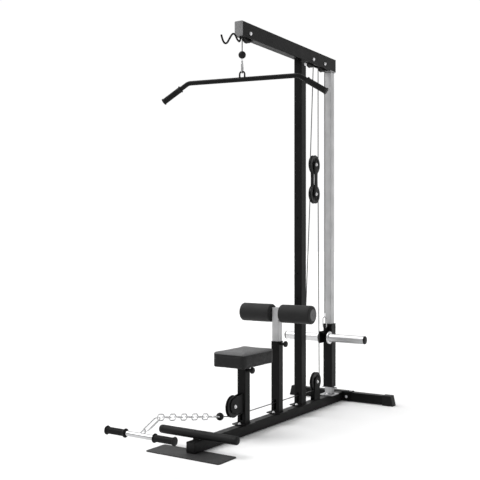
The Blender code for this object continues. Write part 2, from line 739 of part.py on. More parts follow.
# ------------------------------------------------------------------ ropes
def build_ropes():
    front_top = (FRONT_TOP_Y, TOP_AXLE_Z)
    mid_top = (MID_TOP_Y, TOP_AXLE_Z)
    rear_top = (REAR_TOP_Y, TOP_AXLE_Z)
    upper = (FLOAT_Y, FLOAT_Z)
    lower = (FLOAT_Y, FLOAT_LOW_Z)
    front_low = (FRONT_LOW_Y, LOW_AXLE_Z)
    rear_low = (REAR_LOW_Y, LOW_AXLE_Z)
    anchor = (ANCHOR_Y, ANCHOR_Z)
    quarter = math.pi / 2

    off_mid, on_upper = tangent(mid_top, TOP_PITCH_R, 1, upper, LOW_PITCH_R, -1)
    route = [(0, LAT_Y, LAT_BALL_Z + BALL_R)]
    route += arc(front_top, TOP_PITCH_R, 2 * quarter, quarter, 6, -1)
    route += arc(mid_top, TOP_PITCH_R, quarter, off_mid, 6, -1)
    wire("lat_rope_front", shorten(route, GAP, GAP), ROPE_R, ROPE)

    route = [on_wheel(mid_top, TOP_PITCH_R, off_mid)]
    route += arc(upper, LOW_PITCH_R, on_upper, 0, 12)
    route.append((0, REAR_TOP_Y - TOP_PITCH_R, TOP_AXLE_Z))
    wire("lat_rope_float_loop", shorten(route, GAP, GAP), ROPE_R, ROPE)

    route = arc(rear_top, TOP_PITCH_R, 2 * quarter, 0, 12, -1)
    route.append((0, SLEEVE_Y, LINK_LOW + LINK_LEN + LINK_D / 2))
    wire("lat_rope_carriage", shorten(route, GAP, GAP), ROPE_R, ROPE)

    off_rear, on_lower = tangent(rear_low, LOW_PITCH_R, -1, lower, LOW_PITCH_R, -1)
    route = [(0, *row_ball())]
    route += arc(front_low, LOW_PITCH_R, -quarter - ROW_RISE, -quarter, 3)
    route += arc(rear_low, LOW_PITCH_R, -quarter, off_rear, 6)
    wire("row_rope_base", shorten(route, BALL_R + GAP, GAP), ROPE_R, ROPE)

    off_lower = tangent(lower, LOW_PITCH_R, -1, anchor, 0, -1)[0]
    route = [on_wheel(rear_low, LOW_PITCH_R, off_rear)]
    route += arc(lower, LOW_PITCH_R, on_lower, off_lower, 12)
    route.append((0, *anchor))
    wire("row_rope_float_loop", shorten(route, GAP, GAP), ROPE_R, ROPE)


def on_wheel(centre, radius, angle):
    """The point of a wheel's rope line at an angle."""
    return (0, centre[0] + radius * math.cos(angle), centre[1] + radius * math.sin(angle))


# ------------------------------------------------------------------ weight carriage
def build_carriage():
    top = CARRIAGE_LOW + CARRIAGE_H
    lift = pivot("carriage_lift", (0, GUIDE_Y, CARRIAGE_LOW))

    tube = block("carriage_tube", (CARRIAGE_W, CARRIAGE_W, CARRIAGE_H),
                 (0, 0, CARRIAGE_H / 2), POWDER, along=2, radius=CORNER, parent=lift)
    bore_w = CARRIAGE_W - 2 * WALL
    cut(tube, block("carriage_bore", (bore_w, bore_w, CARRIAGE_H + 0.02),
                    (0, 0, CARRIAGE_H / 2), parent=lift))
    for name, rim, way in (("upper", CARRIAGE_H, 1), ("lower", 0.0, -1)):
        bush(f"carriage_bush_{name}", rim, way, bore_w, lift)
    build_bracket(lift, top)
    for name, side in (("left", -1), ("right", 1)):
        build_sleeve(name, side, lift)
    middle = LINK_LOW + LINK_LEN / 2 - CARRIAGE_LOW
    wire("carriage_link", oval(LINK_LEN, 0.026, 'XZ'), LINK_D / 2, BOLT, closed=True,
         where=(0, SLEEVE_Y - GUIDE_Y, middle), parent=lift)


def bush(name, rim, way, bore_w, parent):
    """A nylon bush in one end of the carriage, with a lip over the rim."""
    fit = bore_w - 2 * GAP
    body_h = BUSH_H + 2 * GAP
    made = block(name, (fit, fit, body_h), (0, 0, rim - way * (BUSH_H / 2 - GAP)), NYLON,
                 parent=parent)
    lip = block(name + "_lip", (CARRIAGE_W - 0.002, CARRIAGE_W - 0.002, BUSH_LIP),
                (0, 0, rim + way * (GAP + BUSH_LIP / 2)), parent=parent)
    hole = GUIDE_W + 2 * SLIDE
    weld(made, lip)
    cut(made, block(name + "_hole", (hole, hole, 0.1), (0, 0, rim), parent=parent))


def build_bracket(lift, top):
    """Two cheeks on the carriage's front that carry the sleeves and the eye."""
    front = CARRIAGE_W / 2
    y = SLEEVE_Y - GUIDE_Y
    z = SLEEVE_Z - CARRIAGE_LOW
    steps = 10
    outline = [(-front + 0.001, z - BRACKET_R), (-front + 0.001, z + BRACKET_R)]
    outline = outline[::-1]
    for i in range(steps + 1):
        angle = -math.pi / 2 - math.pi * i / steps
        outline.append((y + BRACKET_R * math.cos(angle), z + BRACKET_R * math.sin(angle)))
    cheek_x = SLEEVE_IN - GAP - 0.0025
    back = block("carriage_bracket", (2 * cheek_x + 0.005, 0.004, 2 * BRACKET_R),
                 (0, -front - GAP - 0.002, z), POWDER, parent=lift)
    trimmed = [(min(a, -front - GAP - 0.0005), b) for a, b in outline]
    for side in (-1, 1):
        weld(back, plate(f"cheek_{side}", trimmed, 0.005, side * cheek_x, parent=lift))
    eye_z = LINK_LOW - CARRIAGE_LOW
    tab_low = z + BRACKET_R - 0.012
    tab_top = eye_z + 0.014
    tab = block("carriage_eye", (0.006, -front - GAP - y + 0.012, tab_top - tab_low),
                (0, (y - 0.012 - front - GAP) / 2, (tab_low + tab_top) / 2), parent=lift)
    bridge = block("carriage_bridge", (2 * cheek_x, 0.030, 0.005),
                   (0, y + 0.012, z + BRACKET_R - 0.010), parent=lift)
    weld(back, bridge, tab)
    cut(back, rod("carriage_eye_hole", LINK_D / 2 + 0.0022, 0.03, (0, y, eye_z), 0,
                  parent=lift))


def build_sleeve(name, side, lift):
    """A hollow plate sleeve with its collar, and its end cap."""
    y = SLEEVE_Y - GUIDE_Y
    z = SLEEVE_Z - CARRIAGE_LOW
    r = SLEEVE_D / 2
    bore = r - SLEEVE_WALL
    length = SLEEVE_END - SLEEVE_IN
    profile = [(r, length), (r, COLLAR_T), (COLLAR_D / 2, COLLAR_T), (COLLAR_D / 2, 0),
               (bore, 0), (bore, length)]
    tube = turned(f"sleeve_{name}", profile, (side * SLEEVE_IN, y, z), 0, ZINC, steps=24,
                  parent=lift)
    plug = bore - GAP
    dome = [(0, 0.012), (r * 0.7, 0.0095), (r, 0.002), (r, 0),
            (plug, 0), (plug, -0.014), (0, -0.014)]
    cap = turned(f"sleeve_cap_{name}", dome, (side * (SLEEVE_END + GAP), y, z), 0, NYLON,
                 closed=False, parent=lift)
    if side < 0:
        tube.rotation_euler = (0, -math.pi / 2, 0)
        cap.rotation_euler = (0, -math.pi / 2, 0)


# ------------------------------------------------------------------ lat bar
def grip(name, bore_r, length, where, turn, parent):
    """A rubber hand grip, lipped at each end and closed at its outer one, along its own Z."""
    r = bore_r + GRIP_WALL
    lip = bore_r + GRIP_LIP
    bore = bore_r + GAP
    floor = length - GRIP_END
    profile = [(0, length), (lip, length), (lip, length - 0.005), (r, length - 0.007),
               (r, 0.007), (lip, 0.005), (lip, 0), (bore, 0), (bore, floor), (0, floor)]
    return turned(name, profile, where, 2, RUBBER, steps=16, closed=False, turn=turn,
                  parent=parent)


def build_lat_bar():
    pivot_z = LAT_BAR_Z
    swivel = pivot("lat_bar_swivel", (0, LAT_Y, pivot_z), (0, 0, LAT_YAW))
    ball_mesh("lat_ball_stop", BALL_R, BALL_STEM, (0, LAT_Y, LAT_BALL_Z))

    slope = math.atan2(LAT_END_DROP, LAT_END_RUN)
    half = []
    turn_in = LAT_BEND_R * math.tan(slope / 2)
    steps = 4
    for i in range(steps + 1):
        angle = slope * i / steps
        half.append((LAT_BAR_HALF - turn_in + LAT_BEND_R * math.sin(angle),
                     -LAT_BEND_R * (1 - math.cos(angle))))
    half.append((LAT_BAR_HALF + LAT_END_RUN, -LAT_END_DROP))
    route = [(-x, 0, z) for x, z in reversed(half)] + [(x, 0, z) for x, z in half]
    bar = wire("lat_bar", route, LAT_BAR_D / 2, POWDER, resolution=3, parent=swivel)
    inside = shorten(route, -0.01, -0.01)
    bore = wire("lat_bar_bore", inside, LAT_BAR_D / 2 - BAR_WALL, resolution=2, parent=swivel)

    bail = []
    for i in range(11):
        angle = math.pi * i / 10
        bail.append((BAIL_W / 2 * math.cos(angle),
                     0, BAIL_H - BAIL_W / 2 + BAIL_W / 2 * math.sin(angle)))
    foot = LAT_BAR_D / 2 - BAR_WALL / 2
    bail = [(BAIL_W / 2, 0, foot)] + bail + [(-BAIL_W / 2, 0, foot)]
    weld(bar, wire("lat_bail", bail, BAIL_D / 2, resolution=2, parent=swivel))
    cut(bar, bore)

    stem_top = LAT_BALL_Z - BALL_R - BALL_STEM - GAP - pivot_z
    link_low = BAIL_H - (BAIL_D + LAT_LINK_D) / 2 - 0.0005
    link_top = stem_top - 0.010
    length = link_top - link_low
    link = wire("lat_link", oval(length, LAT_LINK_W, 'YZ'), LAT_LINK_D / 2, BOLT, closed=True,
                turn=(math.pi / 2, 0, 0), where=(0, 0, (link_low + link_top) / 2),
                parent=swivel)
    stem = rod("lat_link_stem", 0.0045, 0.011, (0, 0, stem_top - 0.0055), 2, sides=16,
               parent=swivel)
    weld(link, stem)

    length = math.hypot(LAT_END_RUN, LAT_END_DROP)
    for name, side in (("left", -1), ("right", 1)):
        back = (LAT_GRIP_L - GRIP_END - GAP) / length
        x = LAT_BAR_HALF + LAT_END_RUN * (1 - back)
        z = -LAT_END_DROP * (1 - back)
        tilt = side * (math.pi / 2 + slope)
        grip(f"lat_grip_{name}", LAT_BAR_D / 2, LAT_GRIP_L, (side * x, 0, z), (0, tilt, 0),
             swivel)


def ball_mesh(name, radius, stem, where, turn=(0, 0, 0)):
    """A rubber ball stop with a short metal stem on its far side."""
    bm = bmesh.new()
    bmesh.ops.create_uvsphere(bm, u_segments=16, v_segments=10, radius=radius)
    made = finish(name, from_bmesh(name, bm, True), RUBBER, where, turn)
    neck = rod(name + "_stem", 0.0045, stem + 0.006,
               Vector(where) - Matrix.Rotation(turn[0], 3, 'X')
               @ Vector((0, 0, radius - 0.006 + (stem + 0.006) / 2)), 2, sides=16, turn=turn)
    return weld(made, neck)


# ------------------------------------------------------------------ row handle
def row_ball():
    """Centre of the row rope's ball stop, in front of the front low wheel."""
    contact = (FRONT_LOW_Y - LOW_PITCH_R * math.sin(ROW_RISE),
               LOW_AXLE_Z - LOW_PITCH_R * math.cos(ROW_RISE))
    out = ROW_BALL_OUT - LOW_PITCH_R * math.sin(ROW_RISE)
    return (contact[0] - out, contact[1] + out * math.tan(ROW_RISE))


def build_row_handle():
    y, z = row_ball()
    ball_mesh("row_ball_stop", BALL_R, ROW_STEM, (0, y, z), (-math.pi / 2 - ROW_RISE, 0, 0))

    # The pivot's own -Y runs along the chain, rising to the front.
    swivel = pivot("row_handle_swivel", (0, y, z), (-ROW_RISE, 0, 0))
    link_l = CHAIN_PITCH + CHAIN_WIRE * 0.9
    first = BALL_R + ROW_STEM + GAP + (link_l + CHAIN_WIRE) / 2
    links = []
    for i in range(CHAIN_LINKS):
        plane = 'YZ' if i % 2 else 'XY'
        centre = (0, -first - i * CHAIN_PITCH, 0)
        name = "row_chain" if i == 0 else f"chain_link_{i}"
        material = CHROME if i == 0 else None
        links.append(wire(name, oval(link_l, CHAIN_WIDTH - CHAIN_WIRE, plane, 4),
                          CHAIN_WIRE / 2, material, closed=True, where=centre, parent=swivel))
    weld(links[0], *links[1:])

    end = -first - (CHAIN_LINKS - 1) * CHAIN_PITCH - CHAIN_PITCH / 2
    tilt = CLIP_TILT - ROW_RISE
    clip_mid = Vector((0, end + CHAIN_WIRE * 1.25, 0)) + clip_vector(CLIP_L / 2, tilt)
    wire("row_clip", oval(CLIP_L, CLIP_W, 'XY'), CLIP_WIRE / 2, CHROME, closed=True,
         where=clip_mid, turn=(-tilt, 0, 0), parent=swivel)

    far = clip_mid + clip_vector(CLIP_L / 2, tilt)
    bar_at = far + clip_vector(EYE_REACH, tilt)
    bar = rod("row_handle", HANDLE_D / 2, HANDLE_L, bar_at, 0, CHROME, parent=swivel)
    bore = rod("row_handle_bore", HANDLE_D / 2 - BAR_WALL, HANDLE_L + 0.02, bar_at, 0,
               parent=swivel)
    foot = math.sqrt((HANDLE_D / 2 - BAR_WALL / 2) ** 2 - EYE_R ** 2)
    crown = EYE_REACH + (CLIP_WIRE + EYE_WIRE) / 2 + 0.0005 - EYE_R
    eye = [(0, -foot, EYE_R)]
    for i in range(11):
        angle = math.pi * i / 10
        eye.append((0, -crown - EYE_R * math.sin(angle), EYE_R * math.cos(angle)))
    eye.append((0, -foot, -EYE_R))
    weld(bar, wire("row_handle_eye", eye, EYE_WIRE / 2, where=bar_at,
                   turn=(math.pi - tilt, 0, 0), parent=swivel))
    cut(bar, bore)
    for name, side in (("left", -1), ("right", 1)):
        x = side * (HANDLE_L / 2 - HANDLE_GRIP_L + GRIP_END + GAP)
        grip(f"row_grip_{name}", HANDLE_D / 2, HANDLE_GRIP_L,
             bar_at + Vector((x, 0, 0)), (0, side * math.pi / 2, 0), swivel)


def clip_vector(length, tilt):
    """A step forward along the clip, which hangs below the chain's line."""
    return Vector((0, -length * math.cos(tilt), length * math.sin(tilt)))


# ------------------------------------------------------------------ seat
def build_seat():
    lift = pivot("seat_lift", (0, SEAT_Y, SEAT_POST_TOP))
    plate_z = SEAT_GAP + SEAT_PLATE_T / 2
    stem_top = SEAT_GAP + SEAT_PLATE_T / 2
    stem = block("seat_bracket", (SEAT_INNER_W, SEAT_INNER_W, SEAT_STEM + stem_top),
                 (0, 0, (stem_top - SEAT_STEM) / 2), ZINC, along=2, radius=0.003,
                 parent=lift)
    top = block("seat_plate", (SEAT_PLATE[0], SEAT_PLATE[1], SEAT_PLATE_T),
                (0, 0, plate_z), along=2, radius=0.010, parent=lift)
    inner = SEAT_INNER_W - 0.004
    bore = block("seat_stem_bore", (inner, inner, SEAT_STEM), (0, 0, -SEAT_STEM / 2 - 0.004),
                 parent=lift)
    weld(stem, top)
    cut(stem, bore)
    adjuster_holes("seat_stem", stem, SEAT_INNER_W, -PIN_DROP, -1, 4, lift)

    block("seat_pad", SEAT_PAD, (0, 0, SEAT_PAD_Z - SEAT_POST_TOP), VINYL, radius=0.008,
          segments=3, parent=lift)
    pull_pin("seat_pin", SEAT_Y, SEAT_POST_TOP - PIN_DROP, SEAT_POST_W, SEAT_INNER_W)


def adjuster_holes(name, tube, width, first, way, count, parent):
    """A row of pin holes in the +X wall of an inner tube."""
    for i in range(count):
        cut(tube, rod(f"{name}_hole_{i}", PIN_R + 0.0008, 0.012,
                      (width / 2, 0, first + way * i * PIN_HOLE_STEP), 0, sides=16,
                      parent=parent))


def pull_pin(name, y, z, post_w, inner_w):
    """A sprung pull pin in the +X wall of a post, with its collar and knob."""
    tip = inner_w / 2 + SLIDE - post_w / 2
    collar = 0.011
    knob = 0.022
    profile = [(0, knob + 0.018), (KNOB_R * 0.6, knob + 0.0165), (KNOB_R, knob + 0.010),
               (KNOB_R, knob + 0.002), (0.0065, knob - 0.004), (0.0065, collar),
               (0.0085, collar), (0.0085, GAP + 0.0002),
               (PIN_R, GAP + 0.0002), (PIN_R, tip), (0, tip)]
    turned(name, profile, (post_w / 2, y, z), 0, NYLON, steps=16, closed=False)


# ------------------------------------------------------------------ knee rollers
def build_knee():
    lift = pivot("knee_lift", (0, KNEE_Y, KNEE_AXLE_Z))
    top = KNEE_AXLE_Z + KNEE_HEAD
    length = top - KNEE_STEM_LOW
    middle = (0, 0, (top + KNEE_STEM_LOW) / 2 - KNEE_AXLE_Z)
    stem = block("knee_inner_post", (KNEE_INNER_W, KNEE_INNER_W, length), middle, ZINC,
                 along=2, radius=0.003, parent=lift)
    inner = KNEE_INNER_W - 0.004
    cut(stem, block("knee_stem_bore", (inner, inner, length),
                    (middle[0], middle[1], middle[2] - 0.003), parent=lift),
        rod("knee_axle_bore", KNEE_AXLE_R + GAP, 0.08, (0, 0, 0), 0, parent=lift))
    adjuster_holes("knee_stem", stem, KNEE_INNER_W,
                   KNEE_POST_TOP - PIN_DROP - KNEE_AXLE_Z, -1, 4, lift)
    end = ROLLER_IN + ROLLER_L + 0.001
    profile = [(0, end + DISC_T), (DISC_R - 0.002, end + DISC_T), (DISC_R, end + 0.002),
               (DISC_R, end), (KNEE_AXLE_R, end), (KNEE_AXLE_R, -end), (DISC_R, -end),
               (DISC_R, -end - 0.002), (DISC_R - 0.002, -end - DISC_T), (0, -end - DISC_T)]
    turned("knee_axle", profile, (0, 0, 0), 0, GREY_CAP, closed=False, parent=lift)
    for name, side in (("left", -1), ("right", 1)):
        roller(f"roller_pad_{name}", side, lift)
    pull_pin("knee_pin", KNEE_Y, KNEE_POST_TOP - PIN_DROP, KNEE_POST_W, KNEE_INNER_W)


def roller(name, side, lift):
    """A foam roller that turns on the knee axle."""
    soft = 0.006
    bore = KNEE_AXLE_R + RUN
    half = ROLLER_L / 2
    profile = [(ROLLER_R - soft, half), (ROLLER_R, half - soft), (ROLLER_R, soft - half),
               (ROLLER_R - soft, -half), (bore, -half), (bore, half)]
    turned(name, profile, (side * (ROLLER_IN + half), 0, 0), 0, FOAM, steps=24, parent=lift)


build_base()
build_stabiliser()
build_seat_post()
build_knee_post()
build_uprights()
build_boom()
build_bar_holder()
build_pulleys()
build_float()
build_ropes()
build_carriage()
build_lat_bar()
build_row_handle()
build_seat()
build_knee()
bpy.context.view_layer.update()
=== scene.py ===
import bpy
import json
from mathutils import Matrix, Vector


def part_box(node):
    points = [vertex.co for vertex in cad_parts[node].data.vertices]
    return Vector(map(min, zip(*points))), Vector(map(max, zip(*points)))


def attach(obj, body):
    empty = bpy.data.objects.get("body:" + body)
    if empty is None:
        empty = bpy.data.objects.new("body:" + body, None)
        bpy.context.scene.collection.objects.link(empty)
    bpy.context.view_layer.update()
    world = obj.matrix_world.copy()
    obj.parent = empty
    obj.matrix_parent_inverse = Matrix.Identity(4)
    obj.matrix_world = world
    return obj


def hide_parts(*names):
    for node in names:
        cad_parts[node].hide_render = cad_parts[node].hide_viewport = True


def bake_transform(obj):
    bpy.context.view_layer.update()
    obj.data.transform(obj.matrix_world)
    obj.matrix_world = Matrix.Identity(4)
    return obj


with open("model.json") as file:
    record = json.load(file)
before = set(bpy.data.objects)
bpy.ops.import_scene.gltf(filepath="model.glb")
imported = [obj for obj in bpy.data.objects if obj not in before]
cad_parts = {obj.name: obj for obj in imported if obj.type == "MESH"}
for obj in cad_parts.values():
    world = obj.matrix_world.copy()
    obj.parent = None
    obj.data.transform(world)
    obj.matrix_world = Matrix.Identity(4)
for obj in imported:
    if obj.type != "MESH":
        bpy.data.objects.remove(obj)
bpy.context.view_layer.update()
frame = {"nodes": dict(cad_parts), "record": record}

import json
from math import asin, atan2, copysign, cos, hypot, pi, radians, sin, sqrt, tan
import bmesh
import bpy
from mathutils import Matrix, Vector, noise
from mathutils.bvhtree import BVHTree

# ---- sizes, in metres
# The first block repeats what the CAD is built to.
ROPE_R = 0.00275
TOP_WHEEL_R = 0.0475
TOP_PITCH_R = 0.044
LOW_WHEEL_R = 0.058
LOW_PITCH_R = 0.051
WHEEL_HALF = 0.009
TOP_AXLE_Z = 2.1335
LOW_AXLE_Z = 0.170
FRONT_TOP_Y = 0.497
REAR_TOP_Y = 1.352
REAR_LOW_Y = 1.271
FLOAT_Y = REAR_TOP_Y - TOP_PITCH_R - LOW_PITCH_R
FLOAT_Z = 1.500
FLOAT_LOW_Z = 1.320
WHEELS = {("top", "front"): (FRONT_TOP_Y, TOP_AXLE_Z), ("top", "mid"): (1.203, TOP_AXLE_Z),
          ("top", "rear"): (REAR_TOP_Y, TOP_AXLE_Z), ("low", "front"): (0.366, LOW_AXLE_Z),
          ("low", "rear"): (REAR_LOW_Y, LOW_AXLE_Z), ("float", "upper"): (FLOAT_Y, FLOAT_Z),
          ("float", "lower"): (FLOAT_Y, FLOAT_LOW_Z)}
ANCHOR = (1.125, 0.300)
LAT_Y = FRONT_TOP_Y - TOP_PITCH_R
LAT_BALL_Z = 2.015
LAT_BAR_Z = 1.885
LAT_YAW = radians(13.8)
LINK_TOP_Z = 0.5590
SLEEVE_Y = REAR_TOP_Y + TOP_PITCH_R
SLEEVE_Z = 0.4285
ROW_RISE = radians(9.8)
ROW_BALL = (0.248, 0.13863)
CLIP_TILT = radians(-23.6)
ROW_STEM = 0.037
CHAIN_LINKS = 10
CHAIN_PITCH = 0.04395
CHAIN_WIRE = 0.0055
CHAIN_WIDTH = 0.034
CLIP_L = 0.108
CLIP_W = 0.030
EYE_REACH = 0.034
EYE_R = 0.0095
BAR_R = 0.0125
BAR_HALF = 0.309
BAR_RUN = 0.145
BAR_DROP = 0.091
BAR_BEND_R = 0.050
BAIL_TOP = 0.042
BAIL_R = 0.014
LAT_GRIP = 0.122
GRIP_LID = 0.003
HANDLE_R = 0.012
HANDLE_HALF = 0.194
HANDLE_GRIP = 0.115
BASE_TOP = 0.0603
BOOM_LOW = 2.1075
FLANGE_T = 0.005
BALL_R = 0.020
BALL_STEM = 0.012
HOOK_R = 0.005
PLATE_R = 0.0215
SLEEVE_R = 0.025
COLLAR_R = 0.0385
SEAT_PIN_Z = 0.348
KNEE_PIN_Z = 0.451
GAP = 0.0003
TUBE_HALF = 0.025
GUIDE_HALF = 0.0225
SEAT_POST_Y = 0.468
KNEE_POST_Y = 0.814
UPRIGHT_Y = 1.081
GUIDE_Y = 1.462
POSTS = ((SEAT_POST_Y, TUBE_HALF, TUBE_HALF), (KNEE_POST_Y, TUBE_HALF, TUBE_HALF),
         (UPRIGHT_Y, TUBE_HALF, 0.030), (GUIDE_Y, GUIDE_HALF, GUIDE_HALF))

# The second block is for details that only this scene shows.
AXLE_R = 0.005
AXLE_BORE = 0.0004
AXLE_X = {"top": 0.0253, "low": 0.0148, "float": 0.0148}
HEX_R = 0.0080
HEX_H = 0.0045
WASHER_T = 0.0014
WASHER_WIDER = 1.22
FOOT_BOLT_OUT = 0.0145
UPRIGHT_BOLT = (0.0252, 1.095, 2.083)
STAB_FRONT_BOLT = (0.052, 1.594, 0.031)
STAB_TOP_BOLT = (0.070, 1.6243, BASE_TOP + 0.0040)
ROPE_PLAY = 0.0007
ROPE_SINK = 0.001
STEM_R = 0.0045
STEM_BORE = 0.0010
WIRE_R = 0.003
GATE_R = 0.0041
SHACKLE_R = 0.0085
EAR_WELD_X = 0.0149
BEAD_STEP = 0.002
SMALL_BEAD_R = 0.0018
HANDLE_WALL = 0.002
SEAM_DROP = 0.012
PAD_INSET = 0.002
PAD_VOXEL = 0.004
PAD_SWELL = 0.002
PAD_CROWN = 0.0030
PIPING_STEPS = 180
FOAM_CORNER = 0.009
MERGE_DIST = 1e-6
QUARTER = pi / 2
AS_IS = Matrix.Identity(4)
shift = Matrix.Translation  # short, because nearly every piece is placed with it


# ---- materials
def material(name, colour, rough, metallic=0.0, sheen=0.0, coat=0.0, specular=0.5):
    """A Principled material; returns the material, its node tree and its shader."""
    made = bpy.data.materials.new(name)
    made.use_nodes = True
    tree = made.node_tree
    shader = tree.nodes["Principled BSDF"]
    shader.inputs["Base Color"].default_value = (*colour, 1)
    shader.inputs["Roughness"].default_value = rough
    shader.inputs["Metallic"].default_value = metallic
    shader.inputs["Sheen Weight"].default_value = sheen
    shader.inputs["Coat Weight"].default_value = coat
    shader.inputs["Specular IOR Level"].default_value = specular
    return made, tree, shader


def texture(tree, kind, scale, stretch=(1, 1, 1), detail=3.0):
    """A texture over the piece's own coordinates, in cycles per metre."""
    coords = tree.nodes.new("ShaderNodeTexCoord")
    mapping = tree.nodes.new("ShaderNodeMapping")
    mapping.inputs["Scale"].default_value = stretch
    tree.links.new(coords.outputs["Object"], mapping.inputs["Vector"])
    node = tree.nodes.new({"noise": "ShaderNodeTexNoise", "cells": "ShaderNodeTexVoronoi",
                           "wave": "ShaderNodeTexWave"}[kind])
    node.inputs["Scale"].default_value = scale
    if kind == "noise":
        node.inputs["Detail"].default_value = detail
    tree.links.new(mapping.outputs["Vector"], node.inputs["Vector"])
    return node.outputs["Distance" if kind == "cells" else "Fac"]


def gloss(tree, shader, factor, low, high):
    """Lets the roughness wander from low to high with the factor."""
    node = tree.nodes.new("ShaderNodeMapRange")
    node.inputs["From Min"].default_value = 0.3
    node.inputs["From Max"].default_value = 0.7
    node.inputs["To Min"].default_value = low
    node.inputs["To Max"].default_value = high
    tree.links.new(factor, node.inputs["Value"])
    tree.links.new(node.outputs["Result"], shader.inputs["Roughness"])


def tint(tree, shader, factor, dark, light, low=0.3, high=0.7):
    """Colours the shader from dark to light as the factor goes from low to high."""
    ramp = tree.nodes.new("ShaderNodeValToRGB")
    ramp.color_ramp.elements[0].position = low
    ramp.color_ramp.elements[1].position = high
    ramp.color_ramp.elements[0].color = (*dark, 1)
    ramp.color_ramp.elements[1].color = (*light, 1)
    tree.links.new(factor, ramp.inputs["Fac"])
    tree.links.new(ramp.outputs["Color"], shader.inputs["Base Color"])


def bump(tree, shader, factor, strength, depth, after=None):
    """Adds a fine relief, over an earlier one when that is given."""
    node = tree.nodes.new("ShaderNodeBump")
    node.inputs["Strength"].default_value = strength
    node.inputs["Distance"].default_value = depth
    tree.links.new(factor, node.inputs["Height"])
    if after is not None:
        tree.links.new(after, node.inputs["Normal"])
    tree.links.new(node.outputs["Normal"], shader.inputs["Normal"])
    return node.outputs["Normal"]


def grey(level):
    """A grey with a trace of blue."""
    return (level, level, level * 1.01)


def powder_coat(name, dark, light):
    """Black powder coat: a fine orange peel and slow patches of gloss."""
    made, tree, shader = material(name, grey(dark), 0.42, specular=0.09)
    fine = texture(tree, "noise", 900, detail=2)
    broad = texture(tree, "noise", 14, detail=4)
    tint(tree, shader, broad, grey(dark), grey(light))
    gloss(tree, shader, broad, 0.36, 0.50)
    bump(tree, shader, fine, 0.22, 0.0004)
    return made


def brushed(name, dark, light, rough, stretch, fine):
    """Plated steel with draw marks; stretch sets which way they run."""
    made, tree, shader = material(name, grey(light), rough[0], metallic=1.0)
    lines = texture(tree, "noise", 1.0, stretch, 4)
    broad = texture(tree, "noise", 9, detail=5)
    tint(tree, shader, broad, grey(dark), grey(light))
    gloss(tree, shader, lines, *rough)
    bump(tree, shader, lines, fine, 0.0002)
    return made


def moulded(name, level, rough, scale=500, depth=0.0003, strength=0.12):
    """Moulded plastic or rubber with a fine grain."""
    made, tree, shader = material(name, grey(level), rough, specular=0.16)
    fine = texture(tree, "noise", scale, detail=2)
    broad = texture(tree, "noise", 18, detail=3)
    tint(tree, shader, broad, grey(level * 0.85), grey(level * 1.25))
    gloss(tree, shader, broad, rough - 0.05, rough + 0.08)
    bump(tree, shader, fine, strength, depth)
    return made


def foam(name):
    """Closed-cell foam: small open cells under a dull skin."""
    made, tree, shader = material(name, grey(0.01), 0.78, sheen=0.08, specular=0.20)
    cells = texture(tree, "cells", 700)
    broad = texture(tree, "noise", 22, detail=4)
    tint(tree, shader, broad, grey(0.008), grey(0.013))
    gloss(tree, shader, broad, 0.58, 0.72)
    bump(tree, shader, cells, 0.30, 0.0007)
    return made


def vinyl(name, dark, light, rough):
    """Pebbled vinyl: two sizes of cell, with a slow change of gloss."""
    made, tree, shader = material(name, grey(light), rough, specular=0.20)
    pebbles = texture(tree, "cells", 520)
    creases = texture(tree, "noise", 60, detail=6)
    tint(tree, shader, pebbles, grey(dark), grey(light), 0.1, 0.55)
    gloss(tree, shader, creases, rough - 0.06, rough + 0.10)
    first = bump(tree, shader, creases, 0.10, 0.0010)
    bump(tree, shader, pebbles, 0.35, 0.0006, after=first)
    return made


def rope_coat(name):
    """Steel rope in a dark nylon coat: strands twist under it."""
    made, tree, shader = material(name, grey(0.02), 0.38, coat=0.25)
    strands = texture(tree, "wave", 160, (1.0, 1.0, 0.35))
    tint(tree, shader, strands, grey(0.012), grey(0.030))
    shader.inputs["Coat Roughness"].default_value = 0.25
    bump(tree, shader, strands, 0.25, 0.0004)
    return made


def tread(name):
    """Textured coat of the foot plate: small raised grains."""
    made, tree, shader = material(name, grey(0.03), 0.6, specular=0.25)
    grains = texture(tree, "cells", 260)
    broad = texture(tree, "noise", 12, detail=4)
    tint(tree, shader, grains, grey(0.010), grey(0.034), 0.1, 0.6)
    gloss(tree, shader, broad, 0.50, 0.64)
    bump(tree, shader, grains, 0.35, 0.0008)
    return made


POWDER = powder_coat("powder_black", 0.0045, 0.0068)
BAR_BLACK = powder_coat("bar_gloss_black", 0.0060, 0.0080)
GUIDE = brushed("zinc_guide", 0.40, 0.52, (0.42, 0.56), (260, 260, 5), 0.06)
BARREL = brushed("zinc_sleeve", 0.58, 0.68, (0.34, 0.42), (5, 300, 300), 0.03)
CHROME = brushed("chrome_bright", 0.46, 0.58, (0.10, 0.20), (40, 40, 40), 0.02)
BOLT = brushed("zinc_bolt", 0.78, 0.92, (0.28, 0.40), (300, 300, 300), 0.05)
LINK = brushed("zinc_link", 0.36, 0.48, (0.22, 0.34), (300, 300, 300), 0.04)
NYLON = moulded("nylon_black", 0.008, 0.38)
LID = moulded("grey_cap", 0.17, 0.50)
HUB = moulded("grey_hub", 0.10, 0.48)
RUBBER = moulded("rubber_black", 0.007, 0.55, 700, 0.0005, 0.20)
FOAM = foam("foam_black")
# The pad's top uses a lighter copy of the same black vinyl: painted light where the top faces the
# bright surround. The sides keep the vinyl's own black.
PAD_TOP_PAINTED_LIGHT = vinyl("vinyl_top_painted_light", 0.055, 0.110, 0.50)
PAD_SIDE = vinyl("vinyl_side", 0.005, 0.009, 0.50)
ROPE = rope_coat("rope_coated")
TREAD = tread("tread_plate")

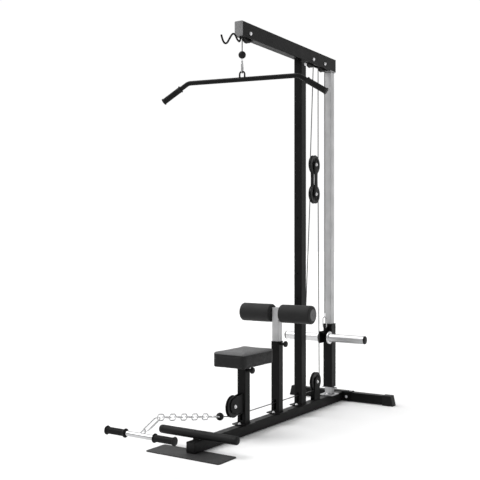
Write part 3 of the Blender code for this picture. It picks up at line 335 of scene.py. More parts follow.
PAINT = {"powder_coat": POWDER, "textured_plate": TREAD, "galvanised": GUIDE, "chrome": CHROME,
         "bolt": BOLT, "nylon": NYLON, "grey_plastic": LID, "rubber": RUBBER, "foam": FOAM,
         "vinyl": PAD_SIDE, "rope": ROPE}
SLOTS = {made: slot for slot, made in PAINT.items()}
SLOTS.update({BARREL: "galvanised", HUB: "grey_plastic", PAD_TOP_PAINTED_LIGHT: "vinyl",
              BAR_BLACK: "powder_coat", LINK: "bolt"})


def paint_cad():
    """Gives each CAD node its procedural material in place of its flat one."""
    for part in frame["record"]["subparts"]:
        node = frame["nodes"][part["node"]]
        for i in range(max(1, len(node.data.materials))):
            if node.data.materials:
                node.data.materials[i] = PAINT[part["material_slot"]]
            else:
                node.data.materials.append(PAINT[part["material_slot"]])


# ---- making pieces
def add_object(name, data):
    """A new object in the scene."""
    item = bpy.data.objects.new(name, data)
    bpy.context.scene.collection.objects.link(item)
    return item


def piece(name, mesh, made, body=None, matrix=None, replaces=()):
    """Adds a mesh as a visible piece that rides on a body."""
    item = add_object(name, mesh)
    if not mesh.materials:
        mesh.materials.append(made)
    if matrix is not None:
        item.matrix_world = matrix
    if replaces:
        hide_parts(*replaces)
    if body:
        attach(item, body)
    return item


def to_mesh(name, bm, angle=40):
    """Turns a bmesh into a mesh that is smooth below the angle, and frees the bmesh."""
    mesh = bpy.data.meshes.new(name)
    bmesh.ops.recalc_face_normals(bm, faces=bm.faces)
    bm.to_mesh(mesh)
    bm.free()
    mesh.shade_smooth()
    mesh.set_sharp_from_angle(angle=radians(angle))
    return mesh


def turned(name, profile, steps=64, closed=True, angle=40):
    """A mesh turned about Z from (radius, height) points; open profiles start and end on Z."""
    bm = bmesh.new()
    rings = []
    for i in range(steps):
        turn = 2 * pi * i / steps
        rings.append([bm.verts.new((r * cos(turn), r * sin(turn), h)) for r, h in profile])
    count = len(profile)
    for i in range(steps):
        near, far = rings[i], rings[(i + 1) % steps]
        for j in range(count if closed else count - 1):
            k = (j + 1) % count
            bm.faces.new((near[j], near[k], far[k], far[j]))
    bmesh.ops.remove_doubles(bm, verts=bm.verts, dist=MERGE_DIST)
    bmesh.ops.dissolve_degenerate(bm, dist=1e-7, edges=bm.edges)
    return to_mesh(name, bm, angle)


def rounded(profile, radius, steps=3):
    """Rounds the corners of a closed (radius, height) profile."""
    out = []
    count = len(profile)
    for i in range(count):
        a, b, c = (Vector(profile[(i + k) % count]) for k in (-1, 0, 1))
        to_a, to_c = a - b, c - b
        r = min(radius, to_a.length * 0.45, to_c.length * 0.45)
        start, end = b + to_a.normalized() * r, b + to_c.normalized() * r
        for k in range(steps + 1):
            t = k / steps
            p = start * (1 - t) ** 2 + b * 2 * t * (1 - t) + end * t * t
            out.append((p.x, p.y))
    return out


def along(axis, where, side=1):
    """A matrix that stands Z along an axis at a place, or against it for a side of -1."""
    turn = {"X": Matrix.Rotation(side * QUARTER, 4, 'Y'),
            "Y": Matrix.Rotation(-side * QUARTER, 4, 'X'),
            "Z": Matrix.Rotation(0 if side > 0 else pi, 4, 'X')}[axis]
    return shift(where) @ turn


def curve(name, dimensions, points, closed):
    """A straight-segment curve through the points, and its spline."""
    data = bpy.data.curves.new(name, 'CURVE')
    data.dimensions = dimensions
    spline = data.splines.new('POLY')
    spline.points.add(len(points) - 1)
    for point, at in zip(spline.points, points):
        point.co = (*at, 1)
    spline.use_cyclic_u = closed
    return data, spline


def curve_mesh(name, data, angle):
    """The mesh of a curve, with its seams closed."""
    guide = add_object(name + "_guide", data)
    bpy.context.view_layer.update()
    seen = guide.evaluated_get(bpy.context.evaluated_depsgraph_get())
    mesh = bpy.data.meshes.new_from_object(seen)
    bpy.data.objects.remove(guide)
    bm = bmesh.new()
    bm.from_mesh(mesh)
    bpy.data.meshes.remove(mesh)
    bmesh.ops.remove_doubles(bm, verts=bm.verts, dist=MERGE_DIST)
    return to_mesh(name, bm, angle)


def wire(name, points, radius, closed=False, resolution=5, radii=None):
    """A round tube through the points, with closed ends, as a mesh."""
    data, spline = curve(name, '3D', points, closed)
    data.bevel_depth = radius
    data.bevel_resolution = resolution
    data.use_fill_caps = True
    for point, swollen in zip(spline.points, radii or ()):
        point.radius = swollen
    return curve_mesh(name, data, 60)


def bevel(bm, edges, radius, segments):
    """Rounds the edges."""
    bmesh.ops.bevel(bm, geom=edges, offset=radius, segments=segments, profile=0.5,
                    affect='EDGES')


def box_mesh(name, size, radius, segments=3):
    """A box with rounded edges, centred on the origin."""
    bm = bmesh.new()
    bmesh.ops.create_cube(bm, size=1)
    bmesh.ops.scale(bm, vec=size, verts=bm.verts)
    bevel(bm, list(bm.edges), radius, segments)
    return to_mesh(name, bm)


def merge(name, meshes):
    """Joins (mesh, matrix) pairs into one mesh."""
    bm = bmesh.new()
    for mesh, matrix in meshes:
        part = mesh.copy()
        part.transform(matrix)
        bm.from_mesh(part)
        bpy.data.meshes.remove(part)
    mesh = bpy.data.meshes.new(name)
    bm.to_mesh(mesh)
    bm.free()
    mesh.shade_smooth()
    mesh.set_sharp_from_angle(angle=radians(40))
    return mesh


def arc(centre, radius, start, end, steps, way=1):
    """Points on an arc in the YZ plane, anticlockwise for a way of 1."""
    sweep = (end - start) * way % (2 * pi)
    return [(0, centre[0] + radius * cos(start + way * sweep * i / steps),
             centre[1] + radius * sin(start + way * sweep * i / steps))
            for i in range(steps + 1)]


def circle(radius, z, steps, x=0.0):
    """Points round a level circle."""
    return [(x + radius * cos(2 * pi * i / steps), radius * sin(2 * pi * i / steps), z)
            for i in range(steps)]


def rippled(count, pitch, depth=0.15):
    """Radius factors along a weld bead."""
    return [1 + depth * sin(pitch * i) for i in range(count)]


def tangent(first, r1, side1, second, r2, side2):
    """The angles at which a taut rope leaves one wheel and meets the next."""
    dy, dz = second[0] - first[0], second[1] - first[1]
    heading = atan2(dz, dy) - asin((side1 * r1 - side2 * r2) / hypot(dy, dz))
    return heading + side1 * QUARTER, heading + side2 * QUARTER


def oval(length, width, plane, steps=12):
    """Points round a link: two half circles joined by straight sides."""
    r = width / 2
    reach = length / 2 - r
    points = []
    for side in (1, -1):
        for i in range(steps + 1):
            angle = side * QUARTER - pi * i / steps
            points.append((side * reach + r * cos(angle), r * sin(angle)))
    order = {"XZ": lambda u, v: (v, 0, u), "XY": lambda u, v: (v, u, 0),
             "YZ": lambda u, v: (0, u, v), "ZY": lambda u, v: (0, v, u)}[plane]
    return [order(u, v) for u, v in points]


def smooth_route(knots, steps):
    """A smooth route through every knot."""
    ends = [Vector(knots[0]) * 2 - Vector(knots[1])] + [Vector(k) for k in knots]
    ends.append(Vector(knots[-1]) * 2 - Vector(knots[-2]))
    route = []
    for i in range(1, len(ends) - 2):
        a, b, c, d = ends[i - 1:i + 3]
        for j in range(steps):
            t = j / steps
            route.append(0.5 * (2 * b + (c - a) * t + (2 * a - 5 * b + 4 * c - d) * t * t
                                + (3 * b - a - 3 * c + d) * t ** 3))
    route.append(ends[-2])
    return route


# ---- fasteners and welds
def hex_mesh(name, radius, height):
    """A hexagon head with a chamfered crown, on its washer, standing on z = 0."""
    bm = bmesh.new()
    bmesh.ops.create_cone(bm, cap_ends=True, segments=6, radius1=radius, radius2=radius,
                          depth=height)
    top = [e for e in bm.edges if all(v.co.z > 0 for v in e.verts)]
    bevel(bm, top, radius * 0.13, 2)
    head = to_mesh(name + "_head", bm, 30)
    wide = radius * WASHER_WIDER
    washer = turned(name + "_washer", rounded(
        [(wide, WASHER_T), (wide, 0), (radius * 0.3, 0), (radius * 0.3, WASHER_T)],
        0.0004, 2), 32)
    stud = turned(name + "_stud", [(0, height + 0.0026), (radius * 0.42, height + 0.0026),
                                   (radius * 0.5, height + 0.0018), (radius * 0.5, height * 0.5),
                                   (0, height * 0.5)], 20, closed=False)
    return merge(name, [(head, shift((0, 0, WASHER_T + height / 2))),
                        (washer, AS_IS), (stud, shift((0, 0, WASHER_T)))])


def pin_shaft(name, x):
    """A thin round shaft from -x to x, turned about Z."""
    return turned(name, [(AXLE_R, x), (AXLE_R, -x), (AXLE_BORE, -x), (AXLE_BORE, x)], 32)


def weld_ring(name, y, z, half, deep, up=1):
    """A fillet weld round the end of a tube, from its half width and half depth."""
    corner, clear = 0.004, 0.0006
    path = []
    for k in range(4):
        base = k * QUARTER + QUARTER / 2
        cx = (half + clear - corner) * copysign(1, cos(base))
        cy = (deep + clear - corner) * copysign(1, sin(base))
        for i in range(5):
            angle = k * QUARTER + QUARTER * i / 4
            path.append(Vector((cx + corner * cos(angle), y + cy + corner * sin(angle),
                                z + up * 0.0005)))
    spacing = 0.0022
    route, radii = [], []
    for i, a in enumerate(path):
        b = path[(i + 1) % len(path)]
        count = max(1, round((b - a).length / spacing))
        for j in range(count):
            route.append(a.lerp(b, j / count))
            radii.append(1.0 + 0.16 * sin(len(radii) * 1.9) + 0.1 * sin(len(radii) * 0.7))
    return wire(name, route, 0.0021, closed=True, resolution=2, radii=radii)


def build_fasteners():
    """The frame's bolt heads and fillet welds, and the bolts that are the fixed axles."""
    places = []
    beads = []
    foot_z = BASE_TOP + GAP + FLANGE_T
    for y, half, deep in POSTS:
        for side in (-1, 1):
            places.append(((0, y + side * (deep + FOOT_BOLT_OUT), foot_z), "Z", 1))
        beads.append((weld_ring("bead", y, foot_z, half, deep), AS_IS))
    x, y, z = UPRIGHT_BOLT
    places += [((side * x, y, z), "X", side) for side in (-1, 1)]
    head_z = BOOM_LOW - GAP - FLANGE_T
    beads.append((weld_ring("bead", GUIDE_Y, head_z, GUIDE_HALF, GUIDE_HALF, -1), AS_IS))
    for side in (-1, 1):
        for (x, y, z), axis, way in ((STAB_FRONT_BOLT, "Y", -1), (STAB_TOP_BOLT, "Z", 1)):
            places.append(((side * x, y, z), axis, way))
    head = hex_mesh("frame_bolts_hex", 0.0078, 0.0055)
    heads = [(head, along(axis, where, side)) for where, axis, side in places]
    piece("frame_bolts", merge("frame_bolts", heads), BOLT, "frame")
    piece("frame_welds", merge("frame_welds", beads), POWDER, "frame")

    for (level, place), (y, z) in WHEELS.items():
        if level == "float":
            continue
        name, x = f"{level}_{place}", AXLE_X[level]
        head = hex_mesh(name + "_hex", HEX_R, HEX_H)
        parts = [(head, along("X", (side * x, y, z), side)) for side in (-1, 1)]
        parts.append((pin_shaft(name + "_shaft", x), along("X", (0, y, z))))
        piece(name + "_bolt", merge(name + "_bolt", parts), BOLT, "frame",
              replaces=(f"{level}_axle_{place}",))


# ---- pulleys
def wheel_mesh(name, radius, pitch):
    """A nylon sheave: deep groove, thin rim, dished web with ribs, raised hub."""
    half = WHEEL_HALF
    floor = pitch - ROPE_R - ROPE_PLAY
    rim = floor - 0.0055
    groove = []
    for i in range(9):
        angle = pi * (i / 8 - 0.5)
        groove.append((pitch - (ROPE_R + ROPE_PLAY) * cos(angle),
                       -(ROPE_R + ROPE_PLAY) * sin(angle)))
    profile = ([(radius - 0.0008, half), (radius, half - 0.0010), (radius, half - 0.0022)]
               + groove + [(radius, 0.0022 - half), (radius, 0.0010 - half),
                           (radius - 0.0008, -half)])
    inner = [(rim, -half), (rim - 0.0015, 0.0005 - half), (rim - 0.0030, 0.0042 - half),
             (0.0155, 0.0050 - half), (0.0135, 0.0045 - half), (0.0125, 0.0006 - half),
             (0.0118, -half), (0.0058, -half)]
    profile += inner + [(r, -h) for r, h in reversed(inner)]
    body = turned(name + "_body", profile, 72)
    parts = [(body, AS_IS)]
    rib = box_mesh(name + "_rib", (rim - 0.0155, 0.0024, 0.0152), 0.0007, 2)
    ribs = 8
    for i in range(ribs):
        turn = Matrix.Rotation(2 * pi * (i + 0.5) / ribs, 4, 'Z')
        parts.append((rib, turn @ shift(((rim + 0.0135) / 2, 0, 0))))
    return merge(name, parts)


def build_wheels():
    """Seven wheels of two sizes, each with a steel bearing that turns with it."""
    top = wheel_mesh("sheave_small", TOP_WHEEL_R, TOP_PITCH_R)
    low = wheel_mesh("sheave_large", LOW_WHEEL_R, LOW_PITCH_R)
    race = turned("bearing", rounded([(0.0112, 0.0096), (0.0112, -0.0096), (0.0057, -0.0096),
                                      (0.0057, 0.0096)], 0.0006, 2), 40)
    for (level, place), where in WHEELS.items():
        node, body = f"{level}_wheel_{place}", f"wheel_{level}_{place}"
        at = along("X", (0, *where))
        piece(node + "_nylon", top if level == "top" else low, NYLON, body, at,
              replaces=(node,))
        piece(node + "_bearing", race, BOLT, body, at)


# ---- ropes
def stretch(name, a, b, body_a, body_b, node):
    """A straight run of rope between two points, fixed where it is made; the two bodies it is
    given are not used.
    """
    a, b = Vector(a), Vector(b)
    item = piece(name, wire(name, [a, b], ROPE_R, resolution=4), ROPE, replaces=(node,))
    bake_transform(item)


def bend(name, route, body, node):
    """A curved run of rope that stays with its wheel."""
    piece(name, wire(name, route, ROPE_R), ROPE, body, replaces=(node,))


def on_wheel(centre, radius, angle):
    """The place on a wheel's pitch circle at an angle."""
    return (0, centre[0] + radius * cos(angle), centre[1] + radius * sin(angle))


def build_ropes():
    """Both ropes: bends ride with a wheel's body, straight runs stay where they are made."""
    front_top, mid_top, rear_top, front_low, rear_low, upper, lower = WHEELS.values()
    off_mid, on_upper = tangent(mid_top, TOP_PITCH_R, 1, upper, LOW_PITCH_R, -1)
    off_rear, on_lower = tangent(rear_low, LOW_PITCH_R, -1, lower, LOW_PITCH_R, -1)
    off_lower = tangent(lower, LOW_PITCH_R, -1, ANCHOR, 0, -1)[0]
    lat_front, lat_loop, lat_back = "lat_rope_front", "lat_rope_float_loop", "lat_rope_carriage"
    row_base, row_loop = "row_rope_base", "row_rope_float_loop"

    bend("lat_rope_over", arc(front_top, TOP_PITCH_R, pi, QUARTER, 20, -1)
         + arc(mid_top, TOP_PITCH_R, QUARTER, off_mid, 20, -1), "frame", lat_front)
    stretch("lat_rope_drop", (0, LAT_Y, TOP_AXLE_Z),
            (0, LAT_Y, LAT_BALL_Z + BALL_R - ROPE_SINK), "frame", "lat_line", lat_front)
    stretch("lat_rope_down", on_wheel(mid_top, TOP_PITCH_R, off_mid),
            on_wheel(upper, LOW_PITCH_R, on_upper), "frame", "float_block", lat_loop)
    bend("lat_rope_under", arc(upper, LOW_PITCH_R, on_upper, 0, 36), "float_block", lat_loop)
    stretch("lat_rope_up", (0, FLOAT_Y + LOW_PITCH_R, FLOAT_Z),
            (0, REAR_TOP_Y - TOP_PITCH_R, TOP_AXLE_Z), "float_block", "frame", lat_loop)
    bend("lat_rope_back", arc(rear_top, TOP_PITCH_R, pi, 0, 36, -1), "frame", lat_back)
    stretch("lat_rope_lift", (0, SLEEVE_Y, TOP_AXLE_Z), (0, SLEEVE_Y, LINK_TOP_Z), "frame",
            "carriage", lat_back)

    meet = on_wheel(front_low, LOW_PITCH_R, -QUARTER - ROW_RISE)
    out = Vector((0, -cos(ROW_RISE), sin(ROW_RISE)))
    stretch("row_rope_front", meet, Vector((0, *ROW_BALL)) - out * (BALL_R - ROPE_SINK),
            "frame", "row_line", row_base)
    bend("row_rope_under", arc(front_low, LOW_PITCH_R, -QUARTER - ROW_RISE, -QUARTER, 6)
         + arc(rear_low, LOW_PITCH_R, -QUARTER, off_rear, 20), "frame", row_base)
    stretch("row_rope_rise", on_wheel(rear_low, LOW_PITCH_R, off_rear),
            on_wheel(lower, LOW_PITCH_R, on_lower), "frame", "float_block", row_loop)
    bend("row_rope_over", arc(lower, LOW_PITCH_R, on_lower, off_lower, 36), "float_block",
         row_loop)
    stretch("row_rope_fall", on_wheel(lower, LOW_PITCH_R, off_lower), (0, *ANCHOR),
            "float_block", "frame", row_loop)

    ferrule = turned("ferrule", rounded([(0.0052, 0.020), (0.0052, 0), (0.0028, 0),
                                         (0.0028, 0.020)], 0.0008, 2), 28)
    heading = atan2(FLOAT_LOW_Z - ANCHOR[1],
                    on_wheel(lower, LOW_PITCH_R, off_lower)[1] - ANCHOR[0])
    lean = Matrix.Rotation(heading - QUARTER, 4, 'X')
    piece("anchor_ferrule", ferrule, BOLT, "frame",
          shift((0, *ANCHOR)) @ lean @ shift((0, 0, 0.006)))
    piece("carriage_ferrule", ferrule, BOLT, "carriage", shift((0, SLEEVE_Y, 0.562)))


# ---- frame details
def build_frame_details():
    """The bar holder's hook, the foot bar, the tube plugs and the welds of the wheels' ears."""
    hook_y = 0.422
    knots = [(0, hook_y + y, BOOM_LOW + z) for y, z in (
        (0.014, -0.014), (0.003, -0.027), (-0.017, -0.019), (-0.033, -0.003), (-0.050, 0.002),
        (-0.068, -0.008), (-0.092, -0.036), (-0.110, -0.057), (-0.131, -0.064),
        (-0.149, -0.052), (-0.163, -0.027))]
    route = [(0, 0.436, BOOM_LOW - GAP)] + smooth_route(knots, 6)
    piece("bar_holder_wire", wire("bar_holder_wire", route, HOOK_R, resolution=6), POWDER,
          "frame", replaces=("bar_holder",))

    low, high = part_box("foot_bar")
    half = (high.x - low.x) / 2
    r = (high.z - low.z) / 2
    centre = (low + high) / 2
    end = [(0, half), (r * 0.55, half - 0.0004), (r * 0.80, half - 0.0022),
           (r * 0.94, half - 0.0060), (r, half - 0.0110), (r, half - 0.0250),
           (r - 0.0008, half - 0.0256), (r - 0.0008, half - 0.0266), (r, half - 0.0272)]
    bar = turned("foot_bar_turned", end + [(a, -h) for a, h in reversed(end)], 64, closed=False)
    piece("foot_bar_rubber", bar, RUBBER, "frame", along("X", centre), replaces=("foot_bar",))

    ends = [(box_mesh("rail_plug", (0.0444, 0.010, 0.0494), 0.0015), shift((0, 0.0052, 0.0328))),
            (box_mesh("boom_plug", (0.0500, 0.0036, 0.0800), 0.0012), shift((0, 1.4990, 2.1475)))]
    piece("tube_plugs", merge("tube_plugs", ends), NYLON, "frame")

    lines = [[(side * EAR_WELD_X, REAR_LOW_Y - 0.034 + BEAD_STEP * i, BASE_TOP + 0.0008)
              for i in range(35)] for side in (-1, 1)]
    lines += [[(side * EAR_WELD_X, 0.4427, 0.130 + BEAD_STEP * i) for i in range(46)]
              for side in (-1, 1)]
    beads = [(wire("ear_bead", line, SMALL_BEAD_R, resolution=2,
                   radii=rippled(len(line), 1.9)), AS_IS) for line in lines]
    piece("ear_welds", merge("ear_welds", beads), POWDER, "frame")


# ---- floating block
def build_float():
    """Two pressed plates with a waist, and the two bolts that carry the wheels."""
    waist = PLATE_R * 0.82
    mid = (FLOAT_Z + FLOAT_LOW_Z) / 2
    reach = 0.055
    outline = []
    for centre, start, side in ((FLOAT_Z, 0.0, -1), (FLOAT_LOW_Z, pi, 1)):
        for i in range(25):
            angle = start + pi * i / 24
            outline.append((FLOAT_Y + PLATE_R * cos(angle), centre + PLATE_R * sin(angle), 0))
        for k in (reach, 0.030, 0.0, -0.030, -reach):
            outline.append((FLOAT_Y + side * (waist + (PLATE_R - waist) * (k / reach) ** 2),
                            mid - side * k, 0))
    for node, side in (("float_plate_left", -1), ("float_plate_right", 1)):
        data = curve(node, '2D', outline, True)[0]
        data.fill_mode = 'BOTH'
        data.extrude = 0.0014
        data.bevel_depth = 0.0006
        data.bevel_resolution = 2
        data.offset = -0.0006
        mesh = curve_mesh(node + "_pressed", data, 40)
        x = side * 0.0125
        mesh.transform(Matrix(((0, 0, 1, x), (1, 0, 0, 0), (0, 1, 0, 0), (0, 0, 0, 1))))
        piece(node + "_pressed", mesh, POWDER, "float_block", replaces=(node,))
    head = hex_mesh("float_hex", HEX_R, HEX_H)
    parts = []
    for z in (FLOAT_Z, FLOAT_LOW_Z):
        for side in (-1, 1):
            parts.append((head, along("X", (side * AXLE_X["float"], FLOAT_Y, z), side)))
        parts.append((pin_shaft("float_shaft", AXLE_X["float"]), along("X", (0, FLOAT_Y, z))))
    piece("float_bolts", merge("float_bolts", parts), BOLT, "float_block")


# ---- weight carriage
def build_carriage():
    """Both plate sleeves with their collars, welds and end caps, and the rope's ring."""
    low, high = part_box("sleeve_right")
    inner, outer = low.x, high.x
    length = outer - inner
    sleeve = turned("sleeve_turned", rounded(
        [(SLEEVE_R, length), (SLEEVE_R, 0.0062), (COLLAR_R, 0.0060), (COLLAR_R, 0), (0.022, 0),
         (0.022, length)], 0.0012, 3), 96)
    bead = wire("sleeve_bead", circle(0.0262, 0.0068, 90), SMALL_BEAD_R, closed=True,
                resolution=2, radii=rippled(90, 2.1))
    body = merge("sleeve_body", [(sleeve, AS_IS), (bead, AS_IS)])
    low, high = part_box("sleeve_cap_right")
    tip = high.x - outer
    cap = turned("sleeve_cap_turned",
                 [(0, tip), (0.010, tip - 0.0002), (0.017, tip - 0.0012), (0.0222, tip - 0.0034),
                  (0.0246, tip - 0.0062), (SLEEVE_R, tip - 0.0084), (SLEEVE_R, 0.0006),
                  (0.0217, 0.0004), (0.0217, -0.0130), (0, -0.0130)], 96, closed=False)
    for name, side in (("left", -1), ("right", 1)):
        piece(f"sleeve_{name}_barrel", body, BARREL, "carriage",
              along("X", (side * inner, SLEEVE_Y, SLEEVE_Z), side),
              replaces=(f"sleeve_{name}",))
        piece(f"sleeve_{name}_cap", cap, NYLON, "carriage",
              along("X", (side * outer, SLEEVE_Y, SLEEVE_Z), side),
              replaces=(f"sleeve_cap_{name}",))
    low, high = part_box("carriage_link")
    ring = wire("carriage_ring", oval(high.z - low.z - 2 * WIRE_R,
                                      high.x - low.x - 2 * WIRE_R, "XZ"), WIRE_R, closed=True)
    piece("carriage_ring", ring, LINK, "carriage", shift((low + high) / 2),
          replaces=("carriage_link",))


# ---- ball stops
def crimp(name, top, low, steps=32):
    """A small crimped sleeve round the rope, from top down to low."""
    return turned(name, rounded([(STEM_R, top), (STEM_R, low), (STEM_BORE, low),
                                 (STEM_BORE, top)], 0.0008, 2), steps)


def build_balls():
    """The two rubber ball stops with their stems, and the chain's shackle."""
    steps, parting, pinch = 24, 0.0012, 0.0005
    profile = []
    for i in range(steps + 1):
        r = BALL_R * sin(pi * i / steps)
        h = BALL_R * cos(pi * i / steps)
        profile.append((r - pinch if abs(h) < parting else r, h))
    ball = turned("ball", profile, 56, closed=False)
    lat_at = shift((0, LAT_Y, LAT_BALL_Z))
    piece("lat_ball_rubber", ball, RUBBER, "lat_line", lat_at, replaces=("lat_ball_stop",))
    row_at = shift((0, *ROW_BALL)) @ Matrix.Rotation(-QUARTER - ROW_RISE, 4, 'X')
    piece("row_ball_rubber", ball, RUBBER, "row_line", row_at, replaces=("row_ball_stop",))
    stem = crimp("ball_stem", -BALL_R + 0.002, -BALL_R - BALL_STEM)
    piece("lat_ball_stem", stem, BOLT, "lat_line", lat_at)
    long_stem = crimp("row_stem", -BALL_R + 0.002, -BALL_R - ROW_STEM)
    bow = []
    for i in range(13):
        angle = pi * i / 12
        bow.append((SHACKLE_R * cos(angle), 0, -0.0445 - SHACKLE_R * sin(angle)))
    bow = [(SHACKLE_R, 0, -0.0250)] + bow + [(-SHACKLE_R, 0, -0.0250)]
    parts = [(long_stem, AS_IS), (wire("shackle", bow, 0.0026), AS_IS),
             (wire("shackle_pin", [(-0.0140, 0, -0.0270), (0.0140, 0, -0.0270)], 0.0032), AS_IS)]
    piece("row_ball_shackle", merge("row_ball_shackle", parts), LINK, "row_line", row_at)


# ---- lat bar
def grip_mesh(name, bore, length, wall=0.0035, lip=0.0065):
    """A ribbed rubber grip with a flange at each end, closed at z = length."""
    r = bore + wall
    out = bore + lip
    profile = [(0, length), (out - 0.0035, length), (out - 0.0010, length - 0.0006),
               (out, length - 0.0022), (out, length - 0.0042), (out - 0.0008, length - 0.0054),
               (r, length - 0.0070)]
    start, end, rib = length - 0.0110, 0.0110, 0.0048
    for i in range(int((start - end) / rib)):
        top = start - i * rib
        profile += [(r, top), (r - 0.0011, top - 0.0008), (r - 0.0011, top - 0.0020),
                    (r, top - 0.0028)]
    profile += [(r, 0.0070), (out - 0.0008, 0.0054), (out, 0.0042), (out, 0.0010),
                (out - 0.0010, 0), (bore + GAP, 0), (bore + GAP, length - GRIP_LID),
                (0, length - GRIP_LID)]
    return turned(name, profile, 56, closed=False, angle=50)


def build_lat_bar():
    """The bent bar with its bail, both grips, and the link that hangs it from the rope."""
    base = shift((0, LAT_Y, LAT_BAR_Z)) @ Matrix.Rotation(LAT_YAW, 4, 'Z')
    slope = atan2(BAR_DROP, BAR_RUN)
    turn_in = BAR_BEND_R * tan(slope / 2)
    half = [(BAR_HALF - turn_in + BAR_BEND_R * sin(slope * i / 12),
             -BAR_BEND_R * (1 - cos(slope * i / 12))) for i in range(13)]
    half.append((BAR_HALF + BAR_RUN, -BAR_DROP))
    route = [(-x, 0, z) for x, z in reversed(half)] + [(x, 0, z) for x, z in half]
    bail = [(BAIL_R * cos(pi * i / 24), 0,
             BAIL_TOP - BAIL_R + BAIL_R * sin(pi * i / 24)) for i in range(25)]
    bail = [(BAIL_R, 0, 0.0115)] + bail + [(-BAIL_R, 0, 0.0115)]
    parts = [(wire("bar_tube", route, BAR_R, resolution=8), AS_IS),
             (wire("bar_bail", bail, 0.0045), AS_IS)]
    for side in (-1, 1):
        ring = circle(0.0051, BAR_R + 0.0003, 24, side * BAIL_R)
        parts.append((wire("bail_bead", ring, 0.0014, closed=True, resolution=2), AS_IS))
    piece("lat_bar_tube", merge("lat_bar_tube", parts), BAR_BLACK, "lat_bar_set", base,
          replaces=("lat_bar",))

    grip = grip_mesh("lat_grip_ribbed", BAR_R, LAT_GRIP)
    back = (LAT_GRIP - GRIP_LID - GAP) / hypot(BAR_RUN, BAR_DROP)
    for name, side in (("left", -1), ("right", 1)):
        at = base @ shift((side * (BAR_HALF + BAR_RUN * (1 - back)), 0, -BAR_DROP * (1 - back)))
        at = at @ Matrix.Rotation(side * (QUARTER + slope), 4, 'Y')
        piece(f"lat_grip_{name}_rubber", grip, RUBBER, "lat_bar_set", at,
              replaces=(f"lat_grip_{name}",))

    stem_top = LAT_BALL_Z - BALL_R - BALL_STEM - GAP - LAT_BAR_Z
    link_low, link_top = BAIL_TOP - 0.008, stem_top - 0.010
    loop = oval(link_top - link_low, 0.020, "ZY")
    middle = shift((0, 0, (link_low + link_top) / 2))
    gate = wire("link_gate", [(0, 0.010, -0.008), (0, 0.010, 0.008)], GATE_R)
    stem = crimp("link_stem", stem_top, stem_top - 0.011, 28)
    parts = [(wire("link_loop", loop, WIRE_R, closed=True), middle), (gate, middle),
             (stem, AS_IS)]
    piece("lat_snap_link", merge("lat_snap_link", parts), LINK, "lat_bar_set", base,
          replaces=("lat_link",))


# ---- row handle
def clip_vector(length, tilt):
    """A step along the tilted clip."""
    return Vector((0, -length * cos(tilt), length * sin(tilt)))


def build_row_handle():
    """The chain, the clip, and the straight handle with its eye and grips."""
    base = shift((0, *ROW_BALL)) @ Matrix.Rotation(-ROW_RISE, 4, 'X')
    length = CHAIN_PITCH + CHAIN_WIRE * 0.9
    first = BALL_R + ROW_STEM + GAP + (length + CHAIN_WIRE) / 2
    parts = []
    for i in range(CHAIN_LINKS):
        plane = "YZ" if i % 2 else "XY"
        loop = wire("chain_link", oval(length, CHAIN_WIDTH - CHAIN_WIRE, plane),
                    CHAIN_WIRE / 2, closed=True)
        parts.append((loop, shift((0, -first - i * CHAIN_PITCH, 0))))
    piece("row_chain_links", merge("row_chain_links", parts), CHROME, "row_handle_set", base,
          replaces=("row_chain",))

    end = -first - (CHAIN_LINKS - 1) * CHAIN_PITCH - CHAIN_PITCH / 2
    tilt = CLIP_TILT - ROW_RISE
    middle = Vector((0, end + CHAIN_WIRE * 1.25, 0)) + clip_vector(CLIP_L / 2, tilt)
    spine = wire("clip_loop", oval(CLIP_L, CLIP_W, "XY", 16), WIRE_R, closed=True)
    gate = wire("clip_gate", [(CLIP_W / 2, -CLIP_L * 0.24, 0), (CLIP_W / 2, CLIP_L * 0.24, 0)],
                GATE_R)
    clip = merge("row_clip_body", [(spine, AS_IS), (gate, AS_IS)])
    piece("row_clip_body", clip, CHROME, "row_handle_set",
          base @ shift(middle) @ Matrix.Rotation(-tilt, 4, 'X'), replaces=("row_clip",))

    bar_at = middle + clip_vector(CLIP_L / 2 + EYE_REACH, tilt)
    foot = sqrt((HANDLE_R - 0.001) ** 2 - EYE_R ** 2)
    crown = EYE_REACH + 0.0065 - EYE_R
    eye = [(0, -crown - EYE_R * sin(pi * i / 24), EYE_R * cos(pi * i / 24)) for i in range(25)]
    eye = [(0, -foot, EYE_R)] + eye + [(0, -foot, -EYE_R)]
    bore = HANDLE_R - HANDLE_WALL
    tube = turned("handle_tube", rounded(
        [(HANDLE_R, HANDLE_HALF), (HANDLE_R, -HANDLE_HALF), (bore, -HANDLE_HALF),
         (bore, HANDLE_HALF)], 0.0006, 2), 72)
    parts = [(tube, along("X", bar_at)),
             (wire("handle_eye", eye, WIRE_R), shift(bar_at) @ Matrix.Rotation(pi - tilt, 4, 'X'))]
    piece("row_handle_tube", merge("row_handle_tube", parts), CHROME, "row_handle_set", base,
          replaces=("row_handle",))
    grip = grip_mesh("row_grip_ribbed", HANDLE_R, HANDLE_GRIP, lip=0.0085)
    for name, side in (("left", -1), ("right", 1)):
        at = bar_at + Vector((side * (HANDLE_HALF - HANDLE_GRIP + GRIP_LID + GAP), 0, 0))
        piece(f"row_grip_{name}_rubber", grip, RUBBER, "row_handle_set",
              base @ along("X", at, side), replaces=(f"row_grip_{name}",))


